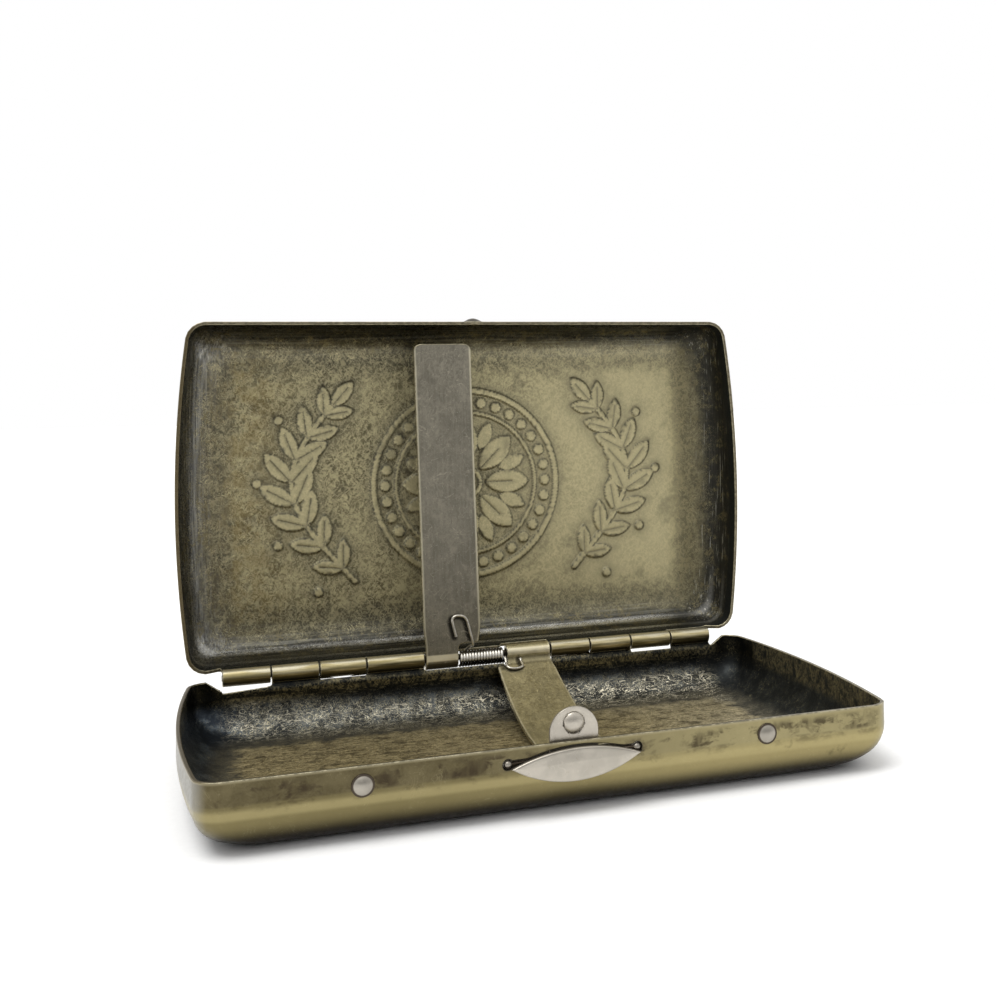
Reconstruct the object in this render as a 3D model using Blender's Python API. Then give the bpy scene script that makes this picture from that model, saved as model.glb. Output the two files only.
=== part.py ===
"""Hinged flat smoking case of pressed sheet metal, shown open.

The tray lies on its flat underside with its centre at the origin. X runs along the hinge, -Y is the
front with the clasp, and +Z is up. Lengths are in metres.
"""
import math

import bmesh
import bpy
from mathutils import Matrix, Vector

# Driving dimensions of the two pressed halves
CASE_LENGTH = 0.097
CASE_WIDTH = 0.056
HALF_DEPTH = 0.0096
SHEET = 0.00055
END_BOW = 0.0020
CORNER_RADIUS = 0.0028
EDGE_RADIUS = 0.0065
FLOOR_CORNER_RADIUS = 0.0070
GAP = 0.0003
LID_OPENING = math.radians(92.0)

# Hinge along the back
PIN_RADIUS = 0.0005
HINGE_HALF_LENGTH = 0.0416
KNUCKLE_PITCH = 0.0075
ARMS_LEFT_END = -0.0096
ARMS_RIGHT_END = 0.0120
NOTCH_DEPTH = 0.0026
TAB_FILLET = 0.0008
TAB_FILLET_SHARE = 0.4
CURL_TURN = math.radians(290.0)

# The two spring arms
ARM_SHEET = 0.00055
LID_ARM_END_CLEARANCE = 0.00375
TRAY_ARM_END_CLEARANCE = 0.0006
ARM_TIP_CORNER = 0.0012
LID_ARM_RIGHT = -0.0006
LID_ARM_CURL_RIGHT = -0.0040
LID_ARM_NOTCH_LENGTH = 0.0024
LID_ARM_LEAN = math.radians(2.0)
TRAY_ARM_LEFT = 0.0024
TRAY_ARM_CURL_LEFT = 0.0043
TRAY_ARM_NOTCH_LENGTH = 0.0024
TRAY_ARM_BEND_RADIUS = 0.0014
TRAY_ARM_FLOOR_REACH = 0.0300
TRAY_ARM_CURVE_POWER = 2.1
ARM_NOTCH_RADIUS = 0.0009
ARM_STEP = 0.00004

# Torsion spring between the arms
WIRE_RADIUS = 0.000225
COIL_RADIUS = 0.00127
COIL_TURNS = 7
COIL_POINTS_PER_TURN = 9
LID_HOOK_HEIGHT = 0.0071
LID_HOOK_WIDTH = 0.0033
LID_HOOK_RETURN = 0.0033
LID_HOOK_SHIFT = 0.0017
TRAY_HOOK_WIDTH = 0.0029
TRAY_HOOK_REACH = 0.0046
TRAY_HOOK_RETURN = 0.0020
TRAY_HOOK_STEP = 0.0007
TRAY_HOOK_BULGE = 0.6
ROUNDING_SHARE = 0.45

# Clasp in the middle of the front wall
PIVOT_HEIGHT = 0.00775
CLASP_PIN_RADIUS = 0.00025
PIN_BALL_RADIUS = 0.0005
PIN_BALL_SPACING = 0.0174
BUTTON_HALF_LENGTH = 0.0087
BUTTON_TIP_HEIGHT = 0.00715
BUTTON_RISE = 0.0017
BUTTON_DROP = 0.00205
BUTTON_THICKNESS = 0.00055
BUTTON_BEVEL = 0.00018
BLOCK_HALF_LENGTH = 0.0034
BLOCK_BELOW_PIVOT = 0.0010
BLOCK_ABOVE_PIVOT = 0.00075
TONGUE_HALF_WIDTH = 0.0033
TONGUE_ABOVE_RIM = 0.0042
TONGUE_BELOW_PIVOT = 0.0012
TONGUE_THICKNESS = 0.00055
STUD_ABOVE_RIM = 0.0021
STUD_RADIUS = 0.00155
STUD_HEIGHT = 0.00062
STUD_ROOT = 0.0001
DIMPLE_RADIUS = 0.0016
DIMPLE_HEIGHT = 0.0007
DIMPLE_SHEET = 0.0006

# Flat return spring behind the clasp, and its rivets
LEAF_THICKNESS = 0.00035
LEAF_HALF_HEIGHT = 0.0011
LEAF_PAD_RADIUS = 0.0017
LEAF_TIP_ANGLE = 0.08
RIVET_SPACING = 0.0544
RIVET_HEIGHT = 0.00715
RIVET_HEAD_RADIUS = 0.00158
RIVET_HEAD_THICKNESS = 0.00045
RIVET_SHANK_RADIUS = 0.00055
RIVET_TAIL_RADIUS = 0.0011
RIVET_TAIL_THICKNESS = 0.0004

# Facet counts
END_STEPS = 7
CORNER_STEPS = 6
EDGE_STEPS = 6
CURL_STEPS = 22
ROUND_STEPS = 28
ARC_STEPS = 16

# Sizes that follow from the ones above
HALF_LENGTH = CASE_LENGTH / 2
HALF_WIDTH = CASE_WIDTH / 2
KNUCKLE_INNER = PIN_RADIUS + GAP
KNUCKLE_CENTRE = KNUCKLE_INNER + SHEET / 2
ARM_CURL_CENTRE = KNUCKLE_INNER + ARM_SHEET / 2
HINGE_Y = HALF_WIDTH + KNUCKLE_INNER
HINGE_Z = HALF_DEPTH + GAP / 2
HINGE = Vector((0.0, HINGE_Y, HINGE_Z))
NOTCH_HEIGHT = HALF_DEPTH - NOTCH_DEPTH
FRONT_OUTER = -HALF_WIDTH
FRONT_INNER = FRONT_OUTER + SHEET
TONGUE_FRONT = FRONT_INNER + GAP
TONGUE_BACK = TONGUE_FRONT + TONGUE_THICKNESS
PIVOT_Y = FRONT_OUTER + SHEET / 2
SLOT_RADIUS = PIN_BALL_RADIUS + GAP
BUTTON_BACK = FRONT_OUTER - GAP
BUTTON_FRONT = BUTTON_BACK - BUTTON_THICKNESS
LEAF_SEAT = FRONT_INNER + GAP
LEAF_MIDDLE = TONGUE_BACK + GAP
LID_ARM_LENGTH = HINGE_Y - FRONT_INNER - LID_ARM_END_CLEARANCE
TRAY_ARM_REACH = HINGE_Y + HALF_WIDTH - EDGE_RADIUS - TRAY_ARM_END_CLEARANCE

MATERIALS = {
    "antique_brass": ((0.165, 0.145, 0.075, 1.0), 0.42, 1.0),
    "arm_brass": ((0.23, 0.205, 0.125, 1.0), 0.40, 1.0),
    "spring_steel": ((0.55, 0.53, 0.50, 1.0), 0.28, 1.0),
    "nickel": ((0.56, 0.52, 0.48, 1.0), 0.35, 1.0),
}


def clear_scene():
    for old in list(bpy.data.objects):
        bpy.data.objects.remove(old, do_unlink=True)


def make_material(name):
    colour, roughness, metallic = MATERIALS[name]
    material = bpy.data.materials.get(name) or bpy.data.materials.new(name)
    material.use_nodes = True
    shader = material.node_tree.nodes["Principled BSDF"]
    shader.inputs["Base Color"].default_value = colour
    shader.inputs["Roughness"].default_value = roughness
    shader.inputs["Metallic"].default_value = metallic
    return material


def add_object(name, bm, material=None, origin=None, turn=0.0, sharp=30.0):
    """Turns a bmesh drawn about its origin point into an object placed there."""
    bmesh.ops.recalc_face_normals(bm, faces=bm.faces)
    mesh = bpy.data.meshes.new(name)
    bm.to_mesh(mesh)
    bm.free()
    mesh.shade_smooth()
    mesh.set_sharp_from_angle(angle=math.radians(sharp))
    piece = bpy.data.objects.new(name, mesh)
    bpy.context.scene.collection.objects.link(piece)
    if origin is not None:
        piece.location = origin
    piece.rotation_euler = (turn, 0.0, 0.0)
    if material:
        mesh.materials.append(make_material(material))
    return piece


def add_boolean(piece, tool, operation):
    """Cuts or joins a tool object, which then is only a guide."""
    tool.hide_render = True
    tool.display_type = "WIRE"
    modifier = piece.modifiers.new(tool.name, "BOOLEAN")
    modifier.operation = operation
    modifier.object = tool
    modifier.solver = "EXACT"


def bridge_rings(bm, rings):
    """Joins rings of points with quads, and caps the two ends with single faces."""
    loops = [[bm.verts.new(point) for point in ring] for ring in rings]
    for first, second in zip(loops, loops[1:]):
        count = len(first)
        for index in range(count):
            following = (index + 1) % count
            bm.faces.new((first[index], first[following], second[following], second[index]))
    bm.faces.new(list(reversed(loops[0])))
    bm.faces.new(loops[-1])


def arc(centre, radius, start, end, steps):
    """Points on a circular arc in a plane, both ends included."""
    points = []
    for index in range(steps + 1):
        angle = start + (end - start) * index / steps
        points.append((centre[0] + radius * math.cos(angle), centre[1] + radius * math.sin(angle)))
    return points


def shallow_arc(half_chord, rise, steps):
    """Points on the arc over a chord that is centred on zero, from right to left."""
    radius = (half_chord ** 2 + rise ** 2) / (2 * rise)
    spread = math.asin(half_chord / radius)
    return arc((0.0, rise - radius), radius, math.pi / 2 - spread, math.pi / 2 + spread, steps)


def add_prism(bm, outline, low, high, axis):
    """Closed prism of a plane outline. Along X the outline is (y, z), and along Y it is (x, z)."""
    if axis == "X":
        rings = [[Vector((depth, a, b)) for a, b in outline] for depth in (low, high)]
    else:
        rings = [[Vector((a, depth, b)) for a, b in outline] for depth in (low, high)]
    bridge_rings(bm, rings)


def add_turned(bm, profile, centre, steps=ROUND_STEPS):
    """Solid turned about the Y direction. The profile holds (y, radius), and its ends close on the axis."""
    loops = []
    for depth, radius in profile:
        if radius == 0.0:
            loops.append([bm.verts.new((centre[0], depth, centre[1]))])
            continue
        ring = arc(centre, radius, 0.0, 2 * math.pi, steps)[:-1]
        loops.append([bm.verts.new((x, depth, z)) for x, z in ring])
    for first, second in zip(loops, loops[1:]):
        for index in range(steps):
            following = (index + 1) % steps
            if len(first) == 1:
                bm.faces.new((first[0], second[following], second[index]))
            elif len(second) == 1:
                bm.faces.new((first[index], first[following], second[0]))
            else:
                bm.faces.new((first[index], first[following], second[following], second[index]))


def dome_profile(base, radius, height, steps=6):
    """Profile of a round cap that rises from its base towards the front."""
    ball = (radius ** 2 + height ** 2) / (2 * height)
    spread = math.asin(min(1.0, radius / ball))
    centre = base - height + ball
    profile = [(base, 0.0)]
    for index in range(steps + 1):
        angle = spread * (1 - index / steps)
        profile.append((centre - ball * math.cos(angle), ball * math.sin(angle)))
    profile[-1] = (base - height, 0.0)
    return profile


# Pressed halves

def plan_ring(inset, height):
    """One ring round the case: straight long sides, bowed ends and round corners."""
    end_radius = (HALF_WIDTH ** 2 + END_BOW ** 2) / (2 * END_BOW)
    end_centre = HALF_LENGTH - end_radius
    corner = CORNER_RADIUS + (FLOOR_CORNER_RADIUS - CORNER_RADIUS) * inset / EDGE_RADIUS
    corner_y = HALF_WIDTH - inset - corner
    reach = end_radius - inset - corner
    corner_x = end_centre + math.sqrt(reach ** 2 - corner_y ** 2)
    turn = math.atan2(corner_y, corner_x - end_centre)
    quarter = arc((end_centre, 0.0), end_radius - inset, 0.0, turn, END_STEPS)
    quarter += arc((corner_x, corner_y), corner, turn, math.pi / 2, CORNER_STEPS)[1:]
    ring = list(quarter)
    ring += [(-x, y) for x, y in reversed(quarter)]
    ring += [(-x, -y) for x, y in quarter[1:]]
    ring += [(x, -y) for x, y in reversed(quarter[1:])]
    return [Vector((x, y, height)) for x, y in ring]


def pan_profile():
    """Insets and heights of the rings, from the underside over the rim to the inner floor."""
    inner_radius = EDGE_RADIUS - SHEET
    profile = []
    for index in range(EDGE_STEPS + 1):
        angle = math.pi / 2 * (1 - index / EDGE_STEPS)
        inset = EDGE_RADIUS * (1 - math.cos(angle))
        profile.append((inset, EDGE_RADIUS * (1 - math.sin(angle))))
    profile.append((0.0, HALF_DEPTH))
    profile.append((SHEET, HALF_DEPTH))
    for index in range(EDGE_STEPS + 1):
        angle = math.pi / 2 * index / EDGE_STEPS
        inset = EDGE_RADIUS - inner_radius * math.cos(angle)
        profile.append((inset, EDGE_RADIUS - inner_radius * math.sin(angle)))
    return profile


def place_half(bm, is_lid):
    """Moves tray coordinates to the hinge axis, turned over about the parting plane for the lid."""
    bmesh.ops.translate(bm, verts=bm.verts, vec=-HINGE)
    if is_lid:
        bmesh.ops.transform(bm, matrix=Matrix.Diagonal((1.0, 1.0, -1.0, 1.0)), verts=bm.verts)


def half_object(name, bm, is_lid, material=None):
    place_half(bm, is_lid)
    turn = -LID_OPENING if is_lid else 0.0
    return add_object(name, bm, material, HINGE, turn)


def knuckle_spans():
    """Left and right end of each of the eight knuckles, from left to right."""
    left = [-HINGE_HALF_LENGTH + KNUCKLE_PITCH * index for index in range(4)] + [ARMS_LEFT_END]
    right = [ARMS_RIGHT_END] + [HINGE_HALF_LENGTH - KNUCKLE_PITCH * index for index in (3, 2, 1, 0)]
    spans = []
    for ends in (left, right):
        spans += [(low + GAP / 2, high - GAP / 2) for low, high in zip(ends, ends[1:])]
    return spans


def curl_path(radius, start, turn, steps):
    """Sheet centre line round the pin, clockwise seen along +X, as (y, z) about the axis."""
    return arc((0.0, 0.0), radius, start, start - turn, steps)


def band_rings(path, thickness, lefts, rights):
    """Cross-sections of a sheet that follows a path in the YZ plane, square to the path."""
    rings = []
    last = len(path) - 1
    for index, point in enumerate(path):
        before = Vector(path[max(index - 1, 0)])
        after = Vector(path[min(index + 1, last)])
        along = (after - before).normalized()
        across = Vector((-along.y, along.x)) * thickness / 2
        upper = Vector(point) + across
        lower = Vector(point) - across
        left, right = lefts[index], rights[index]
        rings.append([
            Vector((left, upper.x, upper.y)),
            Vector((right, upper.x, upper.y)),
            Vector((right, lower.x, lower.y)),
            Vector((left, lower.x, lower.y)),
        ])
    return rings


def add_knuckle(bm, low, high):
    """Tab and rolled curl of one knuckle, drawn in tray coordinates."""
    root = (-KNUCKLE_CENTRE, -NOTCH_DEPTH / 2)
    path = [root] + curl_path(KNUCKLE_CENTRE, math.pi, CURL_TURN, CURL_STEPS)
    rings = band_rings(path, SHEET, [low] * len(path), [high] * len(path))
    bridge_rings(bm, [[point + HINGE for point in ring] for ring in rings])


def gap_outline(low, high, low_slope, high_slope):
    """Outline (x, z) of one gap in the back wall, with round or sloping lower corners."""
    top = HALF_DEPTH + SHEET
    fillet = min(TAB_FILLET, (high - low) * TAB_FILLET_SHARE)
    level = NOTCH_HEIGHT + fillet
    points = []
    if low_slope:
        points += [(low - (top - NOTCH_HEIGHT), top), (low, NOTCH_HEIGHT)]
    else:
        points.append((low, top))
        points += arc((low + fillet, level), fillet, math.pi, math.pi * 1.5, 4)
    if high_slope:
        points += [(high, NOTCH_HEIGHT), (high + (top - NOTCH_HEIGHT), top)]
    else:
        points += arc((high - fillet, level), fillet, -math.pi / 2, 0.0, 4)
        points.append((high, top))
    return points


def back_wall_gaps(tabs):
    """Outlines of everything cut out of the back wall between the tabs and the corners."""
    edge = HINGE_HALF_LENGTH + GAP
    bounds = [-edge]
    for low, high in tabs:
        bounds += [low, high]
    bounds.append(edge)
    outlines = []
    for index in range(0, len(bounds), 2):
        low, high = bounds[index], bounds[index + 1]
        first = index == 0
        last = index == len(bounds) - 2
        outlines.append(gap_outline(low, high, first, last))
    return outlines


def make_half(name, is_lid):
    """One pressed half with its rolled knuckles."""
    bm = bmesh.new()
    bridge_rings(bm, [plan_ring(inset, height) for inset, height in pan_profile()])
    shell = half_object(name, bm, is_lid, "antique_brass")

    tabs = knuckle_spans()[0 if is_lid else 1::2]
    bm = bmesh.new()
    for outline in back_wall_gaps(tabs):
        add_prism(bm, outline, HALF_WIDTH - 2 * SHEET, HALF_WIDTH + SHEET, "Y")
    add_boolean(shell, half_object(name + "_wall_gaps", bm, is_lid), "DIFFERENCE")

    bm = bmesh.new()
    for low, high in tabs:
        add_knuckle(bm, low, high)
    add_boolean(shell, half_object(name + "_knuckles", bm, is_lid), "UNION")
    return shell


def cut_clasp_openings(shell):
    """Crescent opening for the button, slot for the ball-ended pin and holes for the rivets."""
    reach = FRONT_OUTER - SHEET
    depth = FRONT_INNER + SHEET
    crescent = shallow_arc(BUTTON_HALF_LENGTH + GAP, BUTTON_RISE + GAP, ARC_STEPS)
    crescent = [(x, z + BUTTON_TIP_HEIGHT) for x, z in crescent]
    sill = PIVOT_HEIGHT - BLOCK_BELOW_PIVOT - GAP
    sill_half = BLOCK_HALF_LENGTH + GAP
    crescent += [(-sill_half, sill), (sill_half, sill)]
    bm = bmesh.new()
    add_prism(bm, crescent, reach, depth, "Y")
    add_boolean(shell, half_object("clasp_crescent", bm, False), "DIFFERENCE")

    half = PIN_BALL_SPACING / 2
    neck = math.pi - math.asin((CLASP_PIN_RADIUS + GAP) / SLOT_RADIUS)
    slot = arc((half, PIVOT_HEIGHT), SLOT_RADIUS, -neck, neck, 12)
    slot += arc((-half, PIVOT_HEIGHT), SLOT_RADIUS, math.pi - neck, math.pi + neck, 12)
    bm = bmesh.new()
    add_prism(bm, slot, reach, depth, "Y")
    for side in (-1, 1):
        hole = (side * RIVET_SPACING / 2, RIVET_HEIGHT)
        radius = RIVET_SHANK_RADIUS + GAP
        add_prism(bm, arc(hole, radius, 0.0, 2 * math.pi, 16)[:-1], reach, depth, "Y")
    add_boolean(shell, half_object("pin_slot_and_holes", bm, False), "DIFFERENCE")


def press_catch_dimple(shell):
    """Round bump in the lid's front wall that the stud snaps into."""
    height = HALF_DEPTH - STUD_ABOVE_RIM + GAP
    bm = bmesh.new()
    seat = FRONT_OUTER + SHEET / 2
    add_turned(bm, dome_profile(seat, DIMPLE_RADIUS, DIMPLE_HEIGHT + SHEET / 2), (0.0, height))
    add_boolean(shell, half_object("dimple_outside", bm, True), "UNION")
    bm = bmesh.new()
    hollow = FRONT_INNER - FRONT_OUTER + DIMPLE_HEIGHT - DIMPLE_SHEET
    add_turned(bm, dome_profile(FRONT_INNER + SHEET / 4, DIMPLE_RADIUS, hollow + SHEET / 4), (0.0, height))
    add_boolean(shell, half_object("dimple_inside", bm, True), "DIFFERENCE")


def make_hinge_pin():
    bm = bmesh.new()
    outline = arc((0.0, 0.0), PIN_RADIUS, 0.0, 2 * math.pi, 16)[:-1]
    add_prism(bm, outline, -HINGE_HALF_LENGTH, HINGE_HALF_LENGTH, "X")
    add_object("hinge_pin", bm, "spring_steel", HINGE)


# Spring arms

def arm_edges(distances, notch_length, curl_edge, plate_edge, far_edge):
    """Near and far edge of an arm at each distance from its curl, along the sheet."""
    length = distances[-1]
    near_edges = []
    far_edges = []
    side = 1 if plate_edge > far_edge else -1
    for distance in distances:
        if distance <= notch_length:
            depth = max(0.0, distance - (notch_length - ARM_NOTCH_RADIUS))
            flare = ARM_NOTCH_RADIUS - math.sqrt(ARM_NOTCH_RADIUS ** 2 - depth ** 2)
            near_edges.append(curl_edge + side * flare)
            far_edges.append(far_edge)
            continue
        rest = max(0.0, ARM_TIP_CORNER - (length - distance))
        inset = ARM_TIP_CORNER - math.sqrt(ARM_TIP_CORNER ** 2 - rest ** 2)
        near_edges.append(plate_edge - side * inset)
        far_edges.append(far_edge + side * inset)
    return near_edges, far_edges


def arm_distances(length, notch_length, plain_steps):
    """Stations along an arm: close together at the notch and the tip, even between."""
    corner = [math.sin(math.pi / 2 * index / 4) for index in range(5)]
    stations = [notch_length - ARM_NOTCH_RADIUS * (1 - value) for value in corner]
    low, high = notch_length + ARM_STEP, length - ARM_TIP_CORNER
    stations += [low + (high - low) * index / plain_steps for index in range(plain_steps + 1)]
    stations += [length - ARM_TIP_CORNER * (1 - value) for value in corner[1:-1]]
    stations.append(length - ARM_STEP)
    return stations


def arm_object(name, path, distances, notch_length, edges, is_lid):
    """Arm made of its curl, of the path up to the plate, and of the plate with its notch."""
    curl_edge, plate_edge, far_edge = edges
    near, far = arm_edges(distances, notch_length, curl_edge, plate_edge, far_edge)
    curl_count = len(path) - len(distances)
    near = [curl_edge] * curl_count + near
    far = [far_edge] * curl_count + far
    lefts, rights = (far, near) if plate_edge > far_edge else (near, far)
    bm = bmesh.new()
    bridge_rings(bm, band_rings(path, ARM_SHEET, lefts, rights))
    if is_lid:
        bmesh.ops.transform(bm, matrix=Matrix.Diagonal((1.0, 1.0, -1.0, 1.0)), verts=bm.verts)
    return add_object(name, bm, "arm_brass", HINGE, -LID_OPENING if is_lid else 0.0)


def make_lid_arm():
    """Straight arm that leaves the pin level with its inner side and leans to the lid's floor."""
    radius = ARM_CURL_CENTRE
    leave = math.pi / 2 + LID_ARM_LEAN
    curl = curl_path(radius, leave, CURL_TURN, CURL_STEPS)
    start = Vector(curl[0])
    along = Vector((-math.cos(LID_ARM_LEAN), -math.sin(LID_ARM_LEAN)))
    distances = arm_distances(LID_ARM_LENGTH, LID_ARM_NOTCH_LENGTH, 6)
    plate = [tuple(start + along * distance) for distance in distances]
    path = list(reversed(curl)) + plate
    edges = (LID_ARM_CURL_RIGHT, LID_ARM_RIGHT, ARMS_LEFT_END + GAP / 2)
    arm_object("lid_arm", path, distances, LID_ARM_NOTCH_LENGTH, edges, True)


def tray_arm_shape():
    """Start of the reverse bend, its turn, the knee after it and the height of the floor stretch."""
    floor = SHEET + GAP + ARM_SHEET / 2 - HINGE_Z
    bend_start = Vector((-ARM_CURL_CENTRE, -ARM_SHEET))
    fall = bend_start.y - TRAY_ARM_BEND_RADIUS - floor
    slope = math.atan(TRAY_ARM_CURVE_POWER * fall / (TRAY_ARM_FLOOR_REACH - ARM_CURL_CENTRE))
    turn = math.pi / 2 - slope
    bend_centre = bend_start - Vector((TRAY_ARM_BEND_RADIUS, 0.0))
    knee = bend_centre + Vector((math.cos(turn), -math.sin(turn))) * TRAY_ARM_BEND_RADIUS
    return bend_centre, turn, knee, floor


def tray_arm_length():
    bend_centre, turn, knee, floor = tray_arm_shape()
    return ARM_SHEET + TRAY_ARM_BEND_RADIUS * turn + TRAY_ARM_REACH + knee.x


def tray_arm_line(distance):
    """Centre line of the tray arm: a reverse bend, then a curve that settles on the floor."""
    bend_centre, turn, knee, floor = tray_arm_shape()
    if distance <= ARM_SHEET:
        return (-ARM_CURL_CENTRE, -distance)
    bend_length = TRAY_ARM_BEND_RADIUS * turn
    if distance <= ARM_SHEET + bend_length:
        angle = -(distance - ARM_SHEET) / TRAY_ARM_BEND_RADIUS
        return tuple(bend_centre + Vector((math.cos(angle), math.sin(angle))) * TRAY_ARM_BEND_RADIUS)
    run = distance - ARM_SHEET - bend_length
    share = min(1.0, run / (TRAY_ARM_FLOOR_REACH + knee.x))
    height = floor + (knee.y - floor) * (1 - share) ** TRAY_ARM_CURVE_POWER
    return (knee.x - run, height)


def make_tray_arm():
    """Curved arm that drops in front of the pin and lies along the tray's floor."""
    curl = curl_path(ARM_CURL_CENTRE, math.pi, CURL_TURN, CURL_STEPS)
    distances = arm_distances(tray_arm_length(), TRAY_ARM_NOTCH_LENGTH, 26)
    plate = [tray_arm_line(distance) for distance in distances]
    path = list(reversed(curl)) + plate
    edges = (TRAY_ARM_CURL_LEFT, TRAY_ARM_LEFT, ARMS_RIGHT_END - GAP / 2)
    arm_object("tray_arm", path, distances, TRAY_ARM_NOTCH_LENGTH, edges, False)


# Torsion spring

def rounded_route(corners, radius, steps=4):
    """Route through corner points with its inner corners rounded."""
    points = [corners[0]]
    for before, corner, after in zip(corners, corners[1:], corners[2:]):
        back = before - corner
        ahead = after - corner
        reach = min(radius, back.length * ROUNDING_SHARE, ahead.length * ROUNDING_SHARE)
        start = corner + back.normalized() * reach
        end = corner + ahead.normalized() * reach
        for index in range(steps + 1):
            share = index / steps
            points.append(start.lerp(corner, share).lerp(corner.lerp(end, share), share))
    points.append(corners[-1])
    return points


def spring_route():
    """One wire: hook on the lid arm, coil round the pin, hook on the tray arm, about the axis."""
    coil_left = LID_ARM_CURL_RIGHT + GAP + 2 * WIRE_RADIUS
    coil_right = TRAY_ARM_CURL_LEFT - GAP - 2 * WIRE_RADIUS
    pitch = (coil_right - coil_left) / COIL_TURNS
    coil = []
    for index in range(COIL_TURNS * COIL_POINTS_PER_TURN + 1):
        turns = index / COIL_POINTS_PER_TURN
        angle = math.pi - 2 * math.pi * turns
        across = Vector((0.0, math.cos(angle), math.sin(angle))) * COIL_RADIUS
        coil.append(across + Vector((coil_left + pitch * turns, 0.0, 0.0)))

    face = -(KNUCKLE_INNER + ARM_SHEET + GAP + WIRE_RADIUS)
    leg_x = coil_left + LID_HOOK_SHIFT
    rise = LID_HOOK_HEIGHT
    lid_hook = rounded_route([
        Vector((leg_x - LID_HOOK_WIDTH, face, rise - LID_HOOK_RETURN)),
        Vector((leg_x - LID_HOOK_WIDTH, face, rise)),
        Vector((leg_x, face, rise)),
        Vector((leg_x, face, LID_ARM_NOTCH_LENGTH)),
        coil[0] + Vector((0.0, 0.0, 3 * WIRE_RADIUS)),
    ], LID_HOOK_WIDTH / 2)

    def on_arm(x, distance):
        """Point over the tray arm's face, at a distance along the arm."""
        here = Vector(tray_arm_line(distance))
        there = Vector(tray_arm_line(distance + ARM_SHEET))
        along = (there - here).normalized()
        outward = Vector((along.y, -along.x)) * (ARM_SHEET / 2 + GAP + WIRE_RADIUS)
        return Vector((x, here.x + outward.x, here.y + outward.y))

    hook_left = coil_right + WIRE_RADIUS
    hook_right = hook_left + TRAY_HOOK_WIDTH
    half = TRAY_HOOK_WIDTH / 2
    stations = [TRAY_ARM_NOTCH_LENGTH + TRAY_HOOK_STEP * index for index in range(3)]
    tray_hook = [on_arm(hook_left, distance) for distance in stations]
    for index in range(7):
        angle = math.pi - math.pi * index / 6
        reach = TRAY_HOOK_REACH + half * TRAY_HOOK_BULGE * math.sin(angle)
        tray_hook.append(on_arm(hook_left + half + half * math.cos(angle), reach))
    for index in (1, 2):
        distance = TRAY_HOOK_REACH - TRAY_HOOK_RETURN * index / 2
        tray_hook.append(on_arm(hook_right - WIRE_RADIUS * index, distance))
    return lid_hook, coil, tray_hook


def least_gap(points, apart):
    """Least space between parts of the wire that lie further apart along it than a given length."""
    lengths = [0.0]
    for first, second in zip(points, points[1:]):
        lengths.append(lengths[-1] + (second - first).length)
    least = CASE_LENGTH
    for index, point in enumerate(points):
        for other in range(index + 1, len(points)):
            if lengths[other] - lengths[index] > apart:
                least = min(least, (points[other] - point).length)
    return least - 2 * WIRE_RADIUS


def make_arm_spring():
    lid_hook, coil, tray_hook = spring_route()
    points = lid_hook + coil + tray_hook
    curve = bpy.data.curves.new("arm_spring", "CURVE")
    curve.dimensions = "3D"
    curve.bevel_depth = WIRE_RADIUS
    curve.bevel_resolution = 1
    curve.use_fill_caps = True
    spline = curve.splines.new("POLY")
    spline.points.add(len(points) - 1)
    for target, point in zip(spline.points, points):
        target.co = (*point, 1.0)
    spring = bpy.data.objects.new("arm_spring", curve)
    bpy.context.scene.collection.objects.link(spring)
    spring.location = HINGE
    curve.materials.append(make_material("spring_steel"))
    print("arm_spring least gap to itself, mm:", round(least_gap(points, 5 * COIL_RADIUS) * 1000, 3))


# Clasp

def button_outline():
    """Pointed oval as (x, z): the upper arc from right to left, then the lower arc back."""
    upper = shallow_arc(BUTTON_HALF_LENGTH, BUTTON_RISE, ARC_STEPS)
    lower = shallow_arc(BUTTON_HALF_LENGTH, BUTTON_DROP, ARC_STEPS)
    outline = [(x, BUTTON_TIP_HEIGHT + z) for x, z in upper]
    outline += [(-x, BUTTON_TIP_HEIGHT - z) for x, z in lower[1:-1]]
    return outline


def about_pivot(bm):
    bmesh.ops.translate(bm, verts=bm.verts, vec=(0.0, -PIVOT_Y, -PIVOT_HEIGHT))


def pivot_object(name, bm, material=None):
    about_pivot(bm)
    return add_object(name, bm, material, (0.0, PIVOT_Y, PIVOT_HEIGHT))


def make_clasp_button():
    """Oval rocker plate outside the wall, with the grooved block that lies over the pin."""
    outline = button_outline()
    middle = Vector((0.0, BUTTON_TIP_HEIGHT))
    face = []
    for x, z in outline:
        inward = (middle - Vector((x, z))).normalized() * BUTTON_BEVEL
        face.append((x + inward.x, z + inward.y))
    bm = bmesh.new()
    bridge_rings(bm, [
        [Vector((x, BUTTON_BACK, z)) for x, z in outline],
        [Vector((x, BUTTON_FRONT + BUTTON_BEVEL, z)) for x, z in outline],
        [Vector((x, BUTTON_FRONT, z)) for x, z in face],
    ])
    button = pivot_object("clasp_button", bm, "nickel")

    low, high = PIVOT_HEIGHT - BLOCK_BELOW_PIVOT, PIVOT_HEIGHT + BLOCK_ABOVE_PIVOT
    front = BUTTON_BACK - BUTTON_THICKNESS / 2
    back = FRONT_INNER
    groove = CLASP_PIN_RADIUS + GAP
    start = -math.acos((back - PIVOT_Y) / groove)
    section = [(front, low), (back, low)]
    section += arc((PIVOT_Y, PIVOT_HEIGHT), groove, start, -2 * math.pi - start, 12)
    section += [(back, high), (front, high)]
    bm = bmesh.new()
    add_prism(bm, section, -BLOCK_HALF_LENGTH, BLOCK_HALF_LENGTH, "X")
    add_boolean(button, pivot_object("clasp_block", bm), "UNION")


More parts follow.
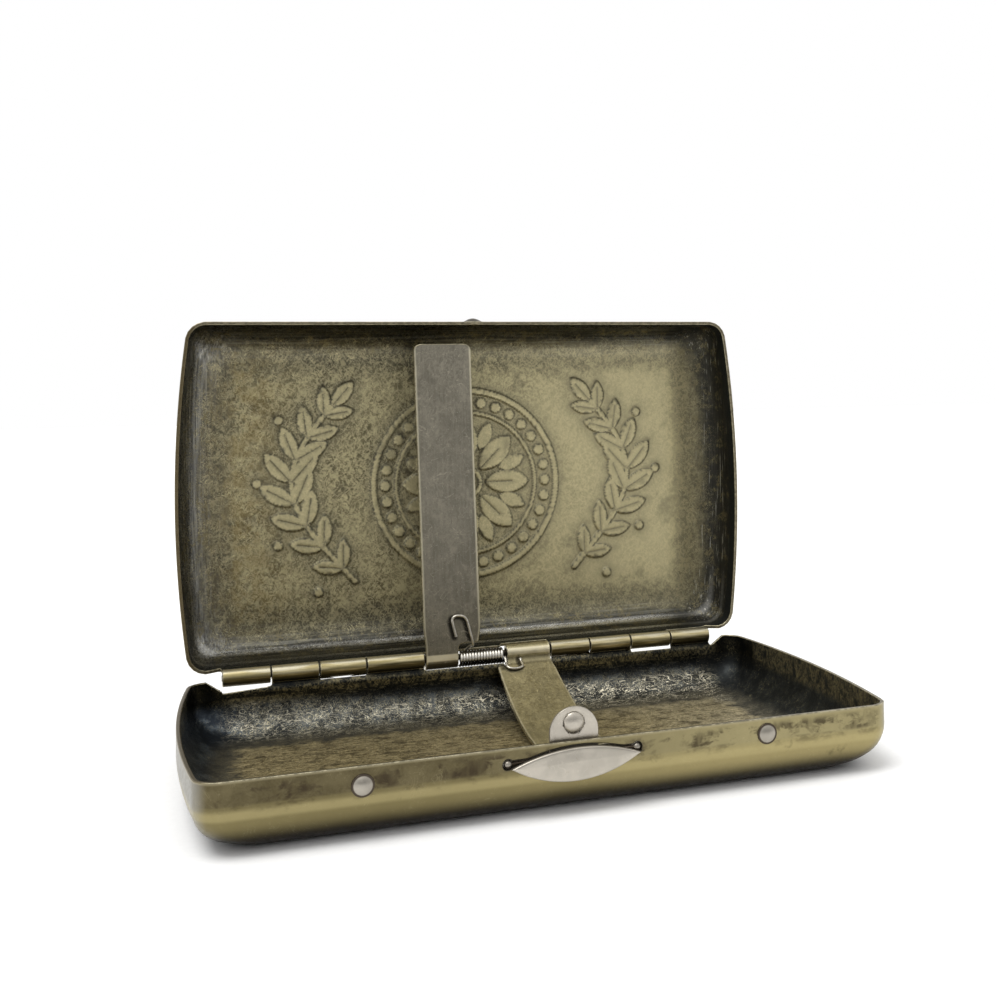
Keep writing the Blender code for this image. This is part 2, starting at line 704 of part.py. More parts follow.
def make_catch_tongue():
    """Round-topped plate behind the wall, with the stud that snaps into the lid."""
    low = PIVOT_HEIGHT - TONGUE_BELOW_PIVOT
    high = HALF_DEPTH + TONGUE_ABOVE_RIM
    shoulder = high - TONGUE_HALF_WIDTH
    outline = arc((0.0, shoulder), TONGUE_HALF_WIDTH, 0.0, math.pi, ARC_STEPS)
    outline += [(-TONGUE_HALF_WIDTH, low), (TONGUE_HALF_WIDTH, low)]
    bm = bmesh.new()
    add_prism(bm, outline, TONGUE_FRONT, TONGUE_BACK, "Y")
    tongue = pivot_object("catch_tongue", bm, "nickel")
    bm = bmesh.new()
    profile = dome_profile(TONGUE_FRONT + STUD_ROOT, STUD_RADIUS, STUD_HEIGHT + STUD_ROOT)
    add_turned(bm, profile, (0.0, HALF_DEPTH + STUD_ABOVE_RIM))
    add_boolean(tongue, pivot_object("catch_stud", bm), "UNION")


def make_clasp_pin():
    """Straight pivot pin with a ball at each end, lying in the wall's opening."""
    half = PIN_BALL_SPACING / 2
    neck = math.asin(CLASP_PIN_RADIUS / PIN_BALL_RADIUS)
    profile = [(-half - PIN_BALL_RADIUS, 0.0)]
    profile += arc((-half, 0.0), PIN_BALL_RADIUS, math.pi, neck, 6)[1:]
    profile += [(-x, radius) for x, radius in reversed(profile)]
    bm = bmesh.new()
    add_turned(bm, profile, (0.0, 0.0), 14)
    bmesh.ops.rotate(bm, verts=bm.verts, cent=(0, 0, 0), matrix=Matrix.Rotation(-math.pi / 2, 3, "Z"))
    add_object("clasp_pin", bm, "nickel", (0.0, PIVOT_Y, PIVOT_HEIGHT))


def make_clasp_spring():
    """Long leaf riveted inside the front wall, bowed in at the middle behind the tongue."""
    half = RIVET_SPACING / 2
    neck = math.asin(LEAF_HALF_HEIGHT / LEAF_PAD_RADIUS)
    bow_half = half - LEAF_PAD_RADIUS * math.cos(neck)
    stations = arc((-half, 0.0), LEAF_PAD_RADIUS, math.pi - LEAF_TIP_ANGLE, neck, 7)
    for index in range(1, ARC_STEPS):
        stations.append((-bow_half + 2 * bow_half * index / ARC_STEPS, LEAF_HALF_HEIGHT))
    stations += [(-x, height) for x, height in reversed(stations[:8])]
    rings = []
    for x, height in stations:
        share = max(0.0, 1 - (x / bow_half) ** 2)
        front = LEAF_SEAT + (LEAF_MIDDLE - LEAF_SEAT) * share * share
        back = front + LEAF_THICKNESS
        rings.append([
            Vector((x, front, RIVET_HEIGHT - height)),
            Vector((x, back, RIVET_HEIGHT - height)),
            Vector((x, back, RIVET_HEIGHT + height)),
            Vector((x, front, RIVET_HEIGHT + height)),
        ])
    bm = bmesh.new()
    bridge_rings(bm, rings)
    leaf = add_object("clasp_spring", bm, "spring_steel")
    bm = bmesh.new()
    for side in (-1, 1):
        hole = arc((side * half, RIVET_HEIGHT), RIVET_SHANK_RADIUS + GAP, 0.0, 2 * math.pi, 16)[:-1]
        add_prism(bm, hole, LEAF_SEAT - SHEET, LEAF_SEAT + LEAF_THICKNESS + SHEET, "Y")
    add_boolean(leaf, add_object("leaf_holes", bm), "DIFFERENCE")


def make_clasp_rivets():
    """Round-headed rivets that hold the leaf's ends to the front wall."""
    head_seat = FRONT_OUTER - GAP
    tail_seat = LEAF_SEAT + LEAF_THICKNESS + GAP
    tail_end = tail_seat + RIVET_TAIL_THICKNESS
    rim = RIVET_HEAD_THICKNESS / 3
    for side, name in ((-1, "clasp_rivet_left"), (1, "clasp_rivet_right")):
        cap = dome_profile(head_seat - rim, RIVET_HEAD_RADIUS, RIVET_HEAD_THICKNESS - rim)
        profile = [
            (tail_end, 0.0),
            (tail_end, RIVET_TAIL_RADIUS),
            (tail_seat, RIVET_TAIL_RADIUS),
            (tail_seat, RIVET_SHANK_RADIUS),
            (head_seat, RIVET_SHANK_RADIUS),
            (head_seat, RIVET_HEAD_RADIUS),
        ]
        bm = bmesh.new()
        add_turned(bm, profile + cap[1:], (0.0, 0.0), 20)
        add_object(name, bm, "nickel", (side * RIVET_SPACING / 2, 0.0, RIVET_HEIGHT))


clear_scene()
tray = make_half("tray_shell", False)
cut_clasp_openings(tray)
lid = make_half("lid_shell", True)
press_catch_dimple(lid)
make_hinge_pin()
make_lid_arm()
make_tray_arm()
make_arm_spring()
make_clasp_button()
make_catch_tongue()
make_clasp_pin()
make_clasp_spring()
make_clasp_rivets()
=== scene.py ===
import math

import bmesh
import bpy
import numpy as np
from mathutils import Matrix, Vector
from mathutils.bvhtree import BVHTree
from mathutils.geometry import delaunay_2d_cdt


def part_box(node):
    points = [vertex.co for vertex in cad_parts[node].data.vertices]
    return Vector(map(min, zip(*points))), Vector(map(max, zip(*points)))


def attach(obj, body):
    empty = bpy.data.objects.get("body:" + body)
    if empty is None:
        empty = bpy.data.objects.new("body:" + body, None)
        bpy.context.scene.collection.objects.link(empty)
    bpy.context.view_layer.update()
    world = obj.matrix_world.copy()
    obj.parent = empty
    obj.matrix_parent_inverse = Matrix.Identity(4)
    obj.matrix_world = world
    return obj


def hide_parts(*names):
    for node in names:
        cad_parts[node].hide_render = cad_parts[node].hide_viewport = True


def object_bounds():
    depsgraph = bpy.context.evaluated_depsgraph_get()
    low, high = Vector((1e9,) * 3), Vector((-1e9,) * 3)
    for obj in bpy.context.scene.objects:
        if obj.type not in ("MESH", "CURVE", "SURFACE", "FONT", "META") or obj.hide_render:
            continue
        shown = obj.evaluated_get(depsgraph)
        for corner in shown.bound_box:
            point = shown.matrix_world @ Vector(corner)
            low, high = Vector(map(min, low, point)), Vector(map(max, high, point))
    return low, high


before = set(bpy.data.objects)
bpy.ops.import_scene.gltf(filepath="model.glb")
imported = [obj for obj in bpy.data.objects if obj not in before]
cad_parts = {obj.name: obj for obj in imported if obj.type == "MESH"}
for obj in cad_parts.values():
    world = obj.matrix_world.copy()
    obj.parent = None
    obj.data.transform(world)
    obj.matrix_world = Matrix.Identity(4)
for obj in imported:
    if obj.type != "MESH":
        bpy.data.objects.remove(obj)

CAD_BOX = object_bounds()

bl_info = {
    "name": "Hinged flat smoking case",
    "version": (1, 0, 0),
    "blender": (4, 5, 0),
    "location": "View3D > Sidebar > Flat case",
    "description": "Dresses the packed solids of a pressed sheet case with its finished shapes and metals",
    "category": "Object",
}

MM = 0.001


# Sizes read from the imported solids, in millimetres

def solid_box(node):
    low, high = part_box(node)
    return [value / MM for value in low], [value / MM for value in high]


TRAY_LOW, TRAY_HIGH = solid_box("tray_shell")
PIN_LOW, PIN_HIGH = solid_box("hinge_pin")
HALF_LENGTH = TRAY_HIGH[0]
HALF_WIDTH = -TRAY_LOW[1]
HINGE_Y = (PIN_LOW[1] + PIN_HIGH[1]) / 2
HINGE_Z = (PIN_LOW[2] + PIN_HIGH[2]) / 2
HINGE_END = PIN_HIGH[0]
HINGE = Vector((0.0, HINGE_Y, HINGE_Z))

# Values that the boxes don't hold, in millimetres, with angles in radians
HALF_DEPTH = 9.6
SHEET = 0.55
GAP = 0.3
END_BOW = 2.0
CORNER_RADIUS = 2.8
EDGE_RADIUS = 6.5
FLOOR_CORNER_RADIUS = 7.0
LID_OPENING = math.radians(92.0)
NOTCH_LEVEL = 8.58
LEFT_NOTCH_LEVEL = 8.35
RIGHT_NOTCH_LEVEL = 8.08
MIDDLE_NOTCH_LEVEL = 8.2
OUTER_NOTCH_LEVEL = 8.1
OUTER_NOTCH_DIP = 0.5
ARM_NOTCH_LEVEL = 7.7
ARM_NOTCH = (4.05, 12.05)
SLOPE = 0.72
TAB_FILLET = 0.35
PANEL_END = 43.2
WALL_ROWS = 3
CLASP_SKEW = 0.019
SLOT_SHIFT = -0.35
PIVOT_REACH = 8.7
PIVOT_Z = 7.7
BUTTON_Z = 7.15
STUD_Z = 11.7
STUD_RADIUS = 1.22
BUMP_Z = 7.8
BUMP_RADIUS = 1.6
BUMP_RISE = 0.7
BUMP_SPREAD = 1.15
BUMP_PANEL = 3.3
BUMP_SPOT = (0.0, 30.7, 66.5)
CLASP_PANEL = 11.0
CURL_RADIUS = HINGE_Y - HALF_WIDTH + SHEET / 2
CURL_START = math.radians(232.0)
CURL_TURN = math.radians(284.0)
CREASE_RADIUS = 0.4
ARM_CURL_TURN = math.radians(290.0)
LID_TABS = ((-41.5, -34.2), (-26.5, -19.2), (12.1, 19.0), (26.7, 34.0))
TRAY_TABS = ((-34.0, -26.7), (-19.0, -9.7), (19.2, 26.5), (34.2, 41.5))


# Property groups

def length(name, description, default):
    return bpy.props.FloatProperty(name=name, description=description, default=default * MM, unit="LENGTH")


def colour(name, description, default):
    return bpy.props.FloatVectorProperty(
        name=name, description=description, size=4, subtype="COLOR", default=(*default, 1.0))


class CaseShellSettings(bpy.types.PropertyGroup):
    relief_height: length("Relief height", "How far the pressed ornament stands up inside the lid", 0.34)
    edge_round: length("Edge rounding", "Radius worn onto every sheet edge", 0.12)
    lid_spacing: length("Lid spacing", "Distance between the lid's mesh lines", 0.85)
    tray_spacing: length("Tray spacing", "Distance between the tray's mesh lines", 1.1)


class CaseSpringSettings(bpy.types.PropertyGroup):
    wire_radius: length("Wire radius", "Radius of the spring wire", 0.23)
    coil_radius: length("Coil radius", "From the coil's axis to the wire's centre", 1.12)
    turns: bpy.props.FloatProperty(name="Turns", description="Turns of wire between the two arms", default=15.25)
    sag: length("Sag", "How far the coil hangs below the pin's axis", 0.33)


class CaseClaspSettings(bpy.types.PropertyGroup):
    crown: length("Button crown", "Rise of the button's face from rim to middle", 0.16)
    rivet_spacing: length("Rivet spacing", "Distance between the two rivets", 54.4)


class CaseColourSettings(bpy.types.PropertyGroup):
    brass: colour("Brass", "Rubbed brass where the patina is thin", (0.370, 0.330, 0.195))
    patina: colour("Patina", "Olive brown of the flat areas", (0.190, 0.165, 0.096))
    soot: colour("Dark patina", "Blue black that stays in hollows", (0.046, 0.050, 0.050))
    nickel: colour("Nickel", "Satin nickel of the clasp", (0.53, 0.49, 0.42))


class CaseStageSettings(bpy.types.PropertyGroup):
    camera_place: bpy.props.FloatVectorProperty(
        name="Camera place", description="Where the camera stands", size=3, subtype="TRANSLATION",
        default=(-0.04912, -0.19506, 0.0570535))
    camera_turn: bpy.props.FloatVectorProperty(
        name="Camera turn", description="Turn of the camera about X, Y and Z", size=3, subtype="EULER",
        default=(math.radians(91.87557), math.radians(0.84599), math.radians(-21.05084)))
    lens: bpy.props.FloatProperty(name="Lens", description="Focal length in millimetres", default=47.661)
    key_strength: bpy.props.FloatProperty(
        name="Key strength", description="Strength of the soft lamp above the case", default=1.5)


def settings(name):
    return getattr(bpy.context.scene, name)


# Mesh helpers

def in_scene(name, data):
    """Object with its data, in the scene."""
    piece = bpy.data.objects.new(name, data)
    bpy.context.scene.collection.objects.link(piece)
    return piece


def new_object(name, points, faces, materials, face_slots=None):
    """Object from points in millimetres. Its place is in its mesh."""
    mesh = bpy.data.meshes.new(name)
    mesh.from_pydata([tuple(value * MM for value in point) for point in points], [], faces)
    for material in materials:
        mesh.materials.append(material)
    if face_slots is not None:
        mesh.polygons.foreach_set("material_index", face_slots)
    mesh.shade_smooth()
    mesh.update()
    return in_scene(name, mesh)


def merge_and_orient(piece, distance=0.002):
    """Merges points that meet and makes the faces agree."""
    bm = bmesh.new()
    bm.from_mesh(piece.data)
    bmesh.ops.remove_doubles(bm, verts=bm.verts, dist=distance * MM)
    bmesh.ops.dissolve_degenerate(bm, dist=distance * MM / 10, edges=bm.edges)
    bmesh.ops.recalc_face_normals(bm, faces=bm.faces)
    bm.to_mesh(piece.data)
    bm.free()


def baked(piece):
    """Replaces the object's mesh by what its modifiers make of it."""
    graph = bpy.context.evaluated_depsgraph_get()
    mesh = bpy.data.meshes.new_from_object(piece.evaluated_get(graph))
    mesh.name = piece.name
    piece.modifiers.clear()
    piece.data = mesh
    return piece


def thicken(piece, thickness, inner_slot=0, rim_slot=0):
    modifier = piece.modifiers.new("thickness", "SOLIDIFY")
    modifier.thickness = thickness * MM
    modifier.offset = 0.0
    modifier.use_even_offset = True
    modifier.material_offset = inner_slot
    modifier.material_offset_rim = rim_slot


def round_edges(piece, width, slot=-1, angle=55.0):
    modifier = piece.modifiers.new("worn edges", "BEVEL")
    modifier.width = width
    modifier.segments = 2
    modifier.limit_method = "ANGLE"
    modifier.angle_limit = math.radians(angle)
    modifier.use_clamp_overlap = False
    modifier.harden_normals = True
    modifier.material = slot


def round_rims(piece, width, slot, heights):
    """Rounds the sheet's own edges, with no point off the sheet, and leaves the pressed floor's creases."""
    bm = bmesh.new()
    bm.from_mesh(piece.data)
    weight = bm.edges.layers.float.new("bevel_weight_edge")
    for edge in bm.edges:
        if min(heights[vertex.index] for vertex in edge.verts) < 3.0 or len(edge.link_faces) != 2:
            continue
        if edge.calc_face_angle(0.0) > math.radians(76.0):
            edge[weight] = 1.0
    square = BVHTree.FromBMesh(bm)
    bm.to_mesh(piece.data)
    bm.free()
    round_edges(piece, width, slot)
    piece.modifiers["worn edges"].limit_method = "WEIGHT"
    baked(piece)
    for vertex in piece.data.vertices:
        nearest, _, _, away = square.find_nearest(vertex.co)
        if away > width * 0.5:
            vertex.co = nearest
    piece.data.update()


def keep_inside(piece):
    """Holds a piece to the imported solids' box, which rounding can pass by a hair."""
    flat = np.empty(len(piece.data.vertices) * 3)
    piece.data.vertices.foreach_get("co", flat)
    low, high = np.array(CAD_BOX[0]), np.array(CAD_BOX[1])
    piece.data.vertices.foreach_set("co", np.clip(flat.reshape(-1, 3), low, high).ravel())
    piece.data.update()


def points_of(mesh):
    """The mesh's points in millimetres."""
    flat = np.empty(len(mesh.vertices) * 3)
    mesh.vertices.foreach_get("co", flat)
    return flat.reshape(-1, 3) / MM


def store(mesh, name, values):
    attribute = mesh.attributes.new(name, "FLOAT", "POINT")
    attribute.data.foreach_set("value", np.asarray(values, dtype=np.float32))


def arc(centre, radius, start, end, steps):
    angles = [start + (end - start) * index / steps for index in range(steps + 1)]
    return [(centre[0] + radius * math.cos(a), centre[1] + radius * math.sin(a)) for a in angles]


def shallow_arc(half_chord, rise, steps):
    radius = (half_chord ** 2 + rise ** 2) / (2 * rise)
    spread = math.asin(half_chord / radius)
    return arc((0.0, rise - radius), radius, math.pi / 2 - spread, math.pi / 2 + spread, steps)


def inside(points, outline):
    """Which of the points lie inside a closed outline."""
    x, y = points[:, 0], points[:, 1]
    result = np.zeros(len(points), dtype=bool)
    for (x1, y1), (x2, y2) in zip(outline, outline[1:] + outline[:1]):
        if y1 == y2:
            continue
        crosses = (y1 > y) != (y2 > y)
        result ^= crosses & (x < (x2 - x1) * (y - y1) / (y2 - y1) + x1)
    return result


def line_distance(points, line):
    """Distance of each point to a line through a list of points."""
    best = np.full(len(points), 1e9)
    for first, second in zip(line, line[1:]):
        a, b = np.array(first), np.array(second)
        along = b - a
        share = np.clip(((points - a) @ along) / max(along @ along, 1e-12), 0, 1)
        best = np.minimum(best, np.linalg.norm(points - a - share[:, None] * along, axis=1))
    return best


def cut_at_rows(outline, rows, side):
    """Adds a point wherever an edge of the outline crosses a row, except on sides further out than given."""
    result = []
    for (x1, y1), (x2, y2) in zip(outline, outline[1:] + outline[:1]):
        result.append((x1, y1))
        crossed = [row for row in rows if min(y1, y2) + 1e-4 < row < max(y1, y2) - 1e-4]
        if min(abs(x1), abs(x2)) > side:
            crossed = []
        for row in sorted(crossed, reverse=y2 < y1):
            result.append((x1 + (x2 - x1) * (row - y1) / (y2 - y1), row))
    return result


def fill_sheet(outline, rows=(), columns=(), holes=(), extra=(), margin=0.12, side=1e9):
    """Triangles inside an outline, with points where rows and columns cross and holes left open."""
    outline = cut_at_rows(outline, rows, side)
    points = list(outline)
    edges = [(index, (index + 1) % len(outline)) for index in range(len(outline))]
    for hole in holes:
        start = len(points)
        points += hole
        edges += [(start + index, start + (index + 1) % len(hole)) for index in range(len(hole))]
    lattice = [(column, row) for row in rows for column in columns] + list(extra)
    if lattice:
        lattice = np.array(lattice)
        keep = inside(lattice, outline) & (line_distance(lattice, outline + outline[:1]) > margin)
        for hole in holes:
            keep &= ~inside(lattice, hole) & (line_distance(lattice, hole + hole[:1]) > margin)
        points += [tuple(point) for point in lattice[keep]]
    found, _, faces, _, _, _ = delaunay_2d_cdt([Vector(point) for point in points], edges, [], 0, 1e-6)
    found = np.array([tuple(point) for point in found])
    corners = np.array([[found[index] for index in face] for face in faces])
    centres = corners.mean(axis=1)
    first, second = corners[:, 1] - corners[:, 0], corners[:, 2] - corners[:, 0]
    area = np.abs(first[:, 0] * second[:, 1] - first[:, 1] * second[:, 0]) / 2
    keep = inside(centres, outline) & (area > 1e-6)
    for hole in holes:
        keep &= ~inside(centres, hole)
    return found, [tuple(face) for face, kept in zip(faces, keep) if kept]


# Shape of a pressed half

def plan(inset):
    """Side, corner and end of the plan outline at one inset."""
    end_radius = (HALF_WIDTH ** 2 + END_BOW ** 2) / (2 * END_BOW)
    end_centre = HALF_LENGTH - end_radius
    corner = CORNER_RADIUS + (FLOOR_CORNER_RADIUS - CORNER_RADIUS) * inset / EDGE_RADIUS
    corner_y = HALF_WIDTH - inset - corner
    reach = end_radius - inset - corner
    corner_x = end_centre + math.sqrt(reach ** 2 - corner_y ** 2)
    turn = math.atan2(corner_y, corner_x - end_centre)
    middle = (turn + math.pi / 2) / 2
    return {
        "end_radius": end_radius - inset,
        "end_centre": end_centre,
        "corner": corner,
        "corner_x": corner_x,
        "corner_y": corner_y,
        "turn": turn,
        "side_length": corner_x + corner * (math.pi / 2 - middle),
        "end_length": (end_radius - inset) * turn + corner * (middle - turn),
    }


def corner_point(shape, angle):
    return (shape["corner_x"] + shape["corner"] * math.cos(angle),
            shape["corner_y"] + shape["corner"] * math.sin(angle))


def side_point(shape, fraction):
    """Point on a long side, from the middle (0) to the middle of a corner (1 or -1)."""
    run = abs(fraction) * shape["side_length"]
    x, y = run, shape["corner_y"] + shape["corner"]
    if run > shape["corner_x"]:
        x, y = corner_point(shape, math.pi / 2 - (run - shape["corner_x"]) / shape["corner"])
    return math.copysign(x, fraction), y


def end_point(shape, fraction):
    """Point on an end, from the middle (0) to the middle of a corner (1 or -1)."""
    run = abs(fraction) * shape["end_length"]
    bow = shape["end_radius"] * shape["turn"]
    if run > bow:
        x, y = corner_point(shape, shape["turn"] + (run - bow) / shape["corner"])
    else:
        angle = run / shape["end_radius"]
        x, y = shape["end_centre"] + shape["end_radius"] * math.cos(angle), shape["end_radius"] * math.sin(angle)
    return x, math.copysign(y, fraction)


def side_stations(spacing, needed):
    """Places along a long side, evenly spaced but with the needed ones and both ends kept exactly."""
    length = plan(SHEET / 2)["side_length"]
    count = round(2 * length / spacing)
    even = [-length + 2 * length * index / count for index in range(count + 1)]
    fixed = needed + [-length, length]
    kept = [place for place in even if all(abs(place - other) > spacing * 0.4 for other in fixed)]
    return np.array(sorted(kept + fixed)) / length


def back_outline(stations, tabs, top_rows):
    """Outline of the flat back panel with its tabs, as (along the hinge, along the sheet)."""
    edge = HINGE_END + GAP
    side = stations[-1]
    curl_end = CURL_LEVEL + CURL_RADIUS * CURL_TURN
    outline = [(x, EDGE_RADIUS) for x in stations]
    outline += [(side, z) for z in top_rows]
    bounds = [-edge]
    for low, high in tabs:
        bounds += [low, high]
    bounds.append(edge)
    upper = []
    last = len(bounds) - 2
    for index in range(0, len(bounds), 2):
        low, high = bounds[index], bounds[index + 1]
        fillet = min(TAB_FILLET, (high - low) * 0.4)
        level = OUTER_NOTCH_LEVEL if index in (0, last) else notch_level(low, high)
        if index == 0:
            upper.append((low, level))
            if high > low + 2:
                upper.append((low + 0.5, level - OUTER_NOTCH_DIP))
                upper.append((high - fillet - 0.5, level - 0.1))
        else:
            upper.append((low, curl_end))
            upper += arc((low + fillet, level + fillet), fillet, math.pi, math.pi * 1.5, 5)
        if low < 0 < high:
            upper += [(ARM_NOTCH[0] - 0.35, level), (ARM_NOTCH[0] + 0.05, ARM_NOTCH_LEVEL)]
            level = NOTCH_LEVEL
            if high > ARM_NOTCH[1] + 1:
                upper += [(ARM_NOTCH[1] - 0.1, ARM_NOTCH_LEVEL), (ARM_NOTCH[1] + 0.15, level)]
            else:
                level = ARM_NOTCH_LEVEL
        if index == last:
            upper.append((high, level))
        else:
            upper += arc((high - fillet, level + fillet), fillet, -math.pi / 2, 0.0, 5)
            upper.append((high, curl_end))
    outline += list(reversed(split_runs(upper)))
    outline += [(-side, z) for z in reversed(top_rows)]
    return outline


def notch_level(low, high):
    """Height of the wall's edge in a notch between two tabs."""
    if low < 0 < high:
        return MIDDLE_NOTCH_LEVEL
    if high < -15:
        return LEFT_NOTCH_LEVEL
    return RIGHT_NOTCH_LEVEL if low > 26 else NOTCH_LEVEL


def split_runs(points):
    """Adds a point about every millimetre to the level stretches of a line."""
    result = [points[0]]
    for (x1, y1), (x2, y2) in zip(points, points[1:]):
        pieces = max(1, round(x2 - x1)) if abs(y2 - y1) < x2 - x1 else 1
        result += [(x1 + (x2 - x1) * step / pieces, y1 + (y2 - y1) * step / pieces) for step in range(1, pieces + 1)]
    return result


def tab_bends():
    """Where a tab leaves its wall, dips under the knuckle and starts round the pin."""
    lean = CURL_START - math.pi
    start = Vector((HINGE_Y, HINGE_Z)) + CURL_RADIUS * Vector((math.cos(CURL_START), math.sin(CURL_START)))
    crease = start + CREASE_RADIUS * Vector((math.cos(CURL_START), math.sin(CURL_START)))
    foot_y = crease.x + CREASE_RADIUS * math.cos(lean)
    foot_radius = (foot_y - HALF_WIDTH + SHEET / 2) / (1 - math.cos(lean))
    foot_z = crease.y - CREASE_RADIUS * math.sin(lean) - foot_radius * math.sin(lean)
    return lean, crease, foot_radius, foot_z


LEAN, CREASE, FOOT_RADIUS, FOOT_Z = tab_bends()
CURL_LEVEL = FOOT_Z + (FOOT_RADIUS + 2 * CREASE_RADIUS) * LEAN


def on_back_wall(along, height):
    """Place of a sheet point on the back wall, in the crease above it or on the curl round the pin."""
    flat = (along, HALF_WIDTH - SHEET / 2, height)
    if height <= FOOT_Z:
        return flat
    reach = min(1.0, max(0.0, (HINGE_END + GAP - 0.02 - abs(along)) / 0.36))
    if reach < 1.0:
        return tuple(Vector(flat).lerp(Vector(in_crease(along, height)), reach))
    return in_crease(along, height)


def in_crease(along, height):
    """Place of a tab's point above the foot of its bend."""
    run = height - FOOT_Z
    if run <= FOOT_RADIUS * LEAN:
        angle = run / FOOT_RADIUS
        y = HALF_WIDTH - SHEET / 2 + FOOT_RADIUS * (1 - math.cos(angle))
        return (along, y, FOOT_Z + FOOT_RADIUS * math.sin(angle))
    run -= FOOT_RADIUS * LEAN
    if run <= 2 * CREASE_RADIUS * LEAN:
        angle = run / CREASE_RADIUS - LEAN
        return (along, CREASE.x + CREASE_RADIUS * math.cos(angle), CREASE.y + CREASE_RADIUS * math.sin(angle))
    angle = CURL_START - (height - CURL_LEVEL) / CURL_RADIUS
    return (along, HINGE_Y + CURL_RADIUS * math.cos(angle), HINGE_Z + CURL_RADIUS * math.sin(angle))


class SheetMesh:
    """Collects the points and faces of a sheet's middle surface."""

    def __init__(self):
        self.points = []
        self.faces = []
        self.slots = []

    def grid(self, rows, slot=0):
        start = len(self.points)
        width = len(rows[0])
        for row in rows:
            self.points += row
        for j in range(len(rows) - 1):
            for i in range(width - 1):
                first = start + j * width + i
                self.faces.append((first, first + 1, first + 1 + width, first + width))
                self.slots.append(slot)

    def triangles(self, found, faces, place, slot=lambda u, v: 0):
        start = len(self.points)
        self.points += [place(u, v) for u, v in found]
        for face in faces:
            self.faces.append(tuple(start + index for index in face))
            u, v = found[list(face)].mean(axis=0)
            self.slots.append(slot(u, v))


def even_floor(spacing):
    """Evenly spread floor points in staggered rows."""
    rows = np.arange(-24.0, 24.0, spacing * 0.87)
    points = []
    for index, y in enumerate(rows):
        shift = spacing / 2 * (index % 2)
        points += [(x + shift, y) for x in np.arange(-44.0, 44.0, spacing)]
    return np.array(points)


def relief_floor(spacing):
    """Floor points that lie close together only beside the ornament's edges."""
    chosen = []
    for step, least, most in ((0.24, 0.0, 0.34), (0.5, 0.34, 0.9), (spacing, 0.9, 1e9)):
        points = even_floor(step)
        _, nearest, inner = ornament(points[:, 0], -points[:, 1])
        away = np.minimum(np.abs(nearest), inner)
        chosen.append(points[(away >= least) & (away < most)])
    return np.concatenate(chosen)


def rows_up_to(top):
    """Heights of the wall's mesh lines above the round edge."""
    return [EDGE_RADIUS + (top - EDGE_RADIUS) * row / WALL_ROWS for row in range(WALL_ROWS + 1)]


def wall_grid(points, tops):
    """Rows of points from the top of the round edge up to the wall's own edge."""
    columns = [[(x, y, height) for height in rows_up_to(top)] for (x, y, _), top in zip(points, tops)]
    return [list(row) for row in zip(*columns)]


def bump_points(centre, radius):
    """Rings of points for the catch bump, and its middle."""
    points = []
    for ring in range(1, 7):
        for step in range(6 * ring):
            angle = 2 * math.pi * step / (6 * ring)
            reach = radius * BUMP_SPREAD * ring / 6
            points.append((reach * math.cos(angle), centre + reach * math.sin(angle)))
    return points + [(0.0, centre)]


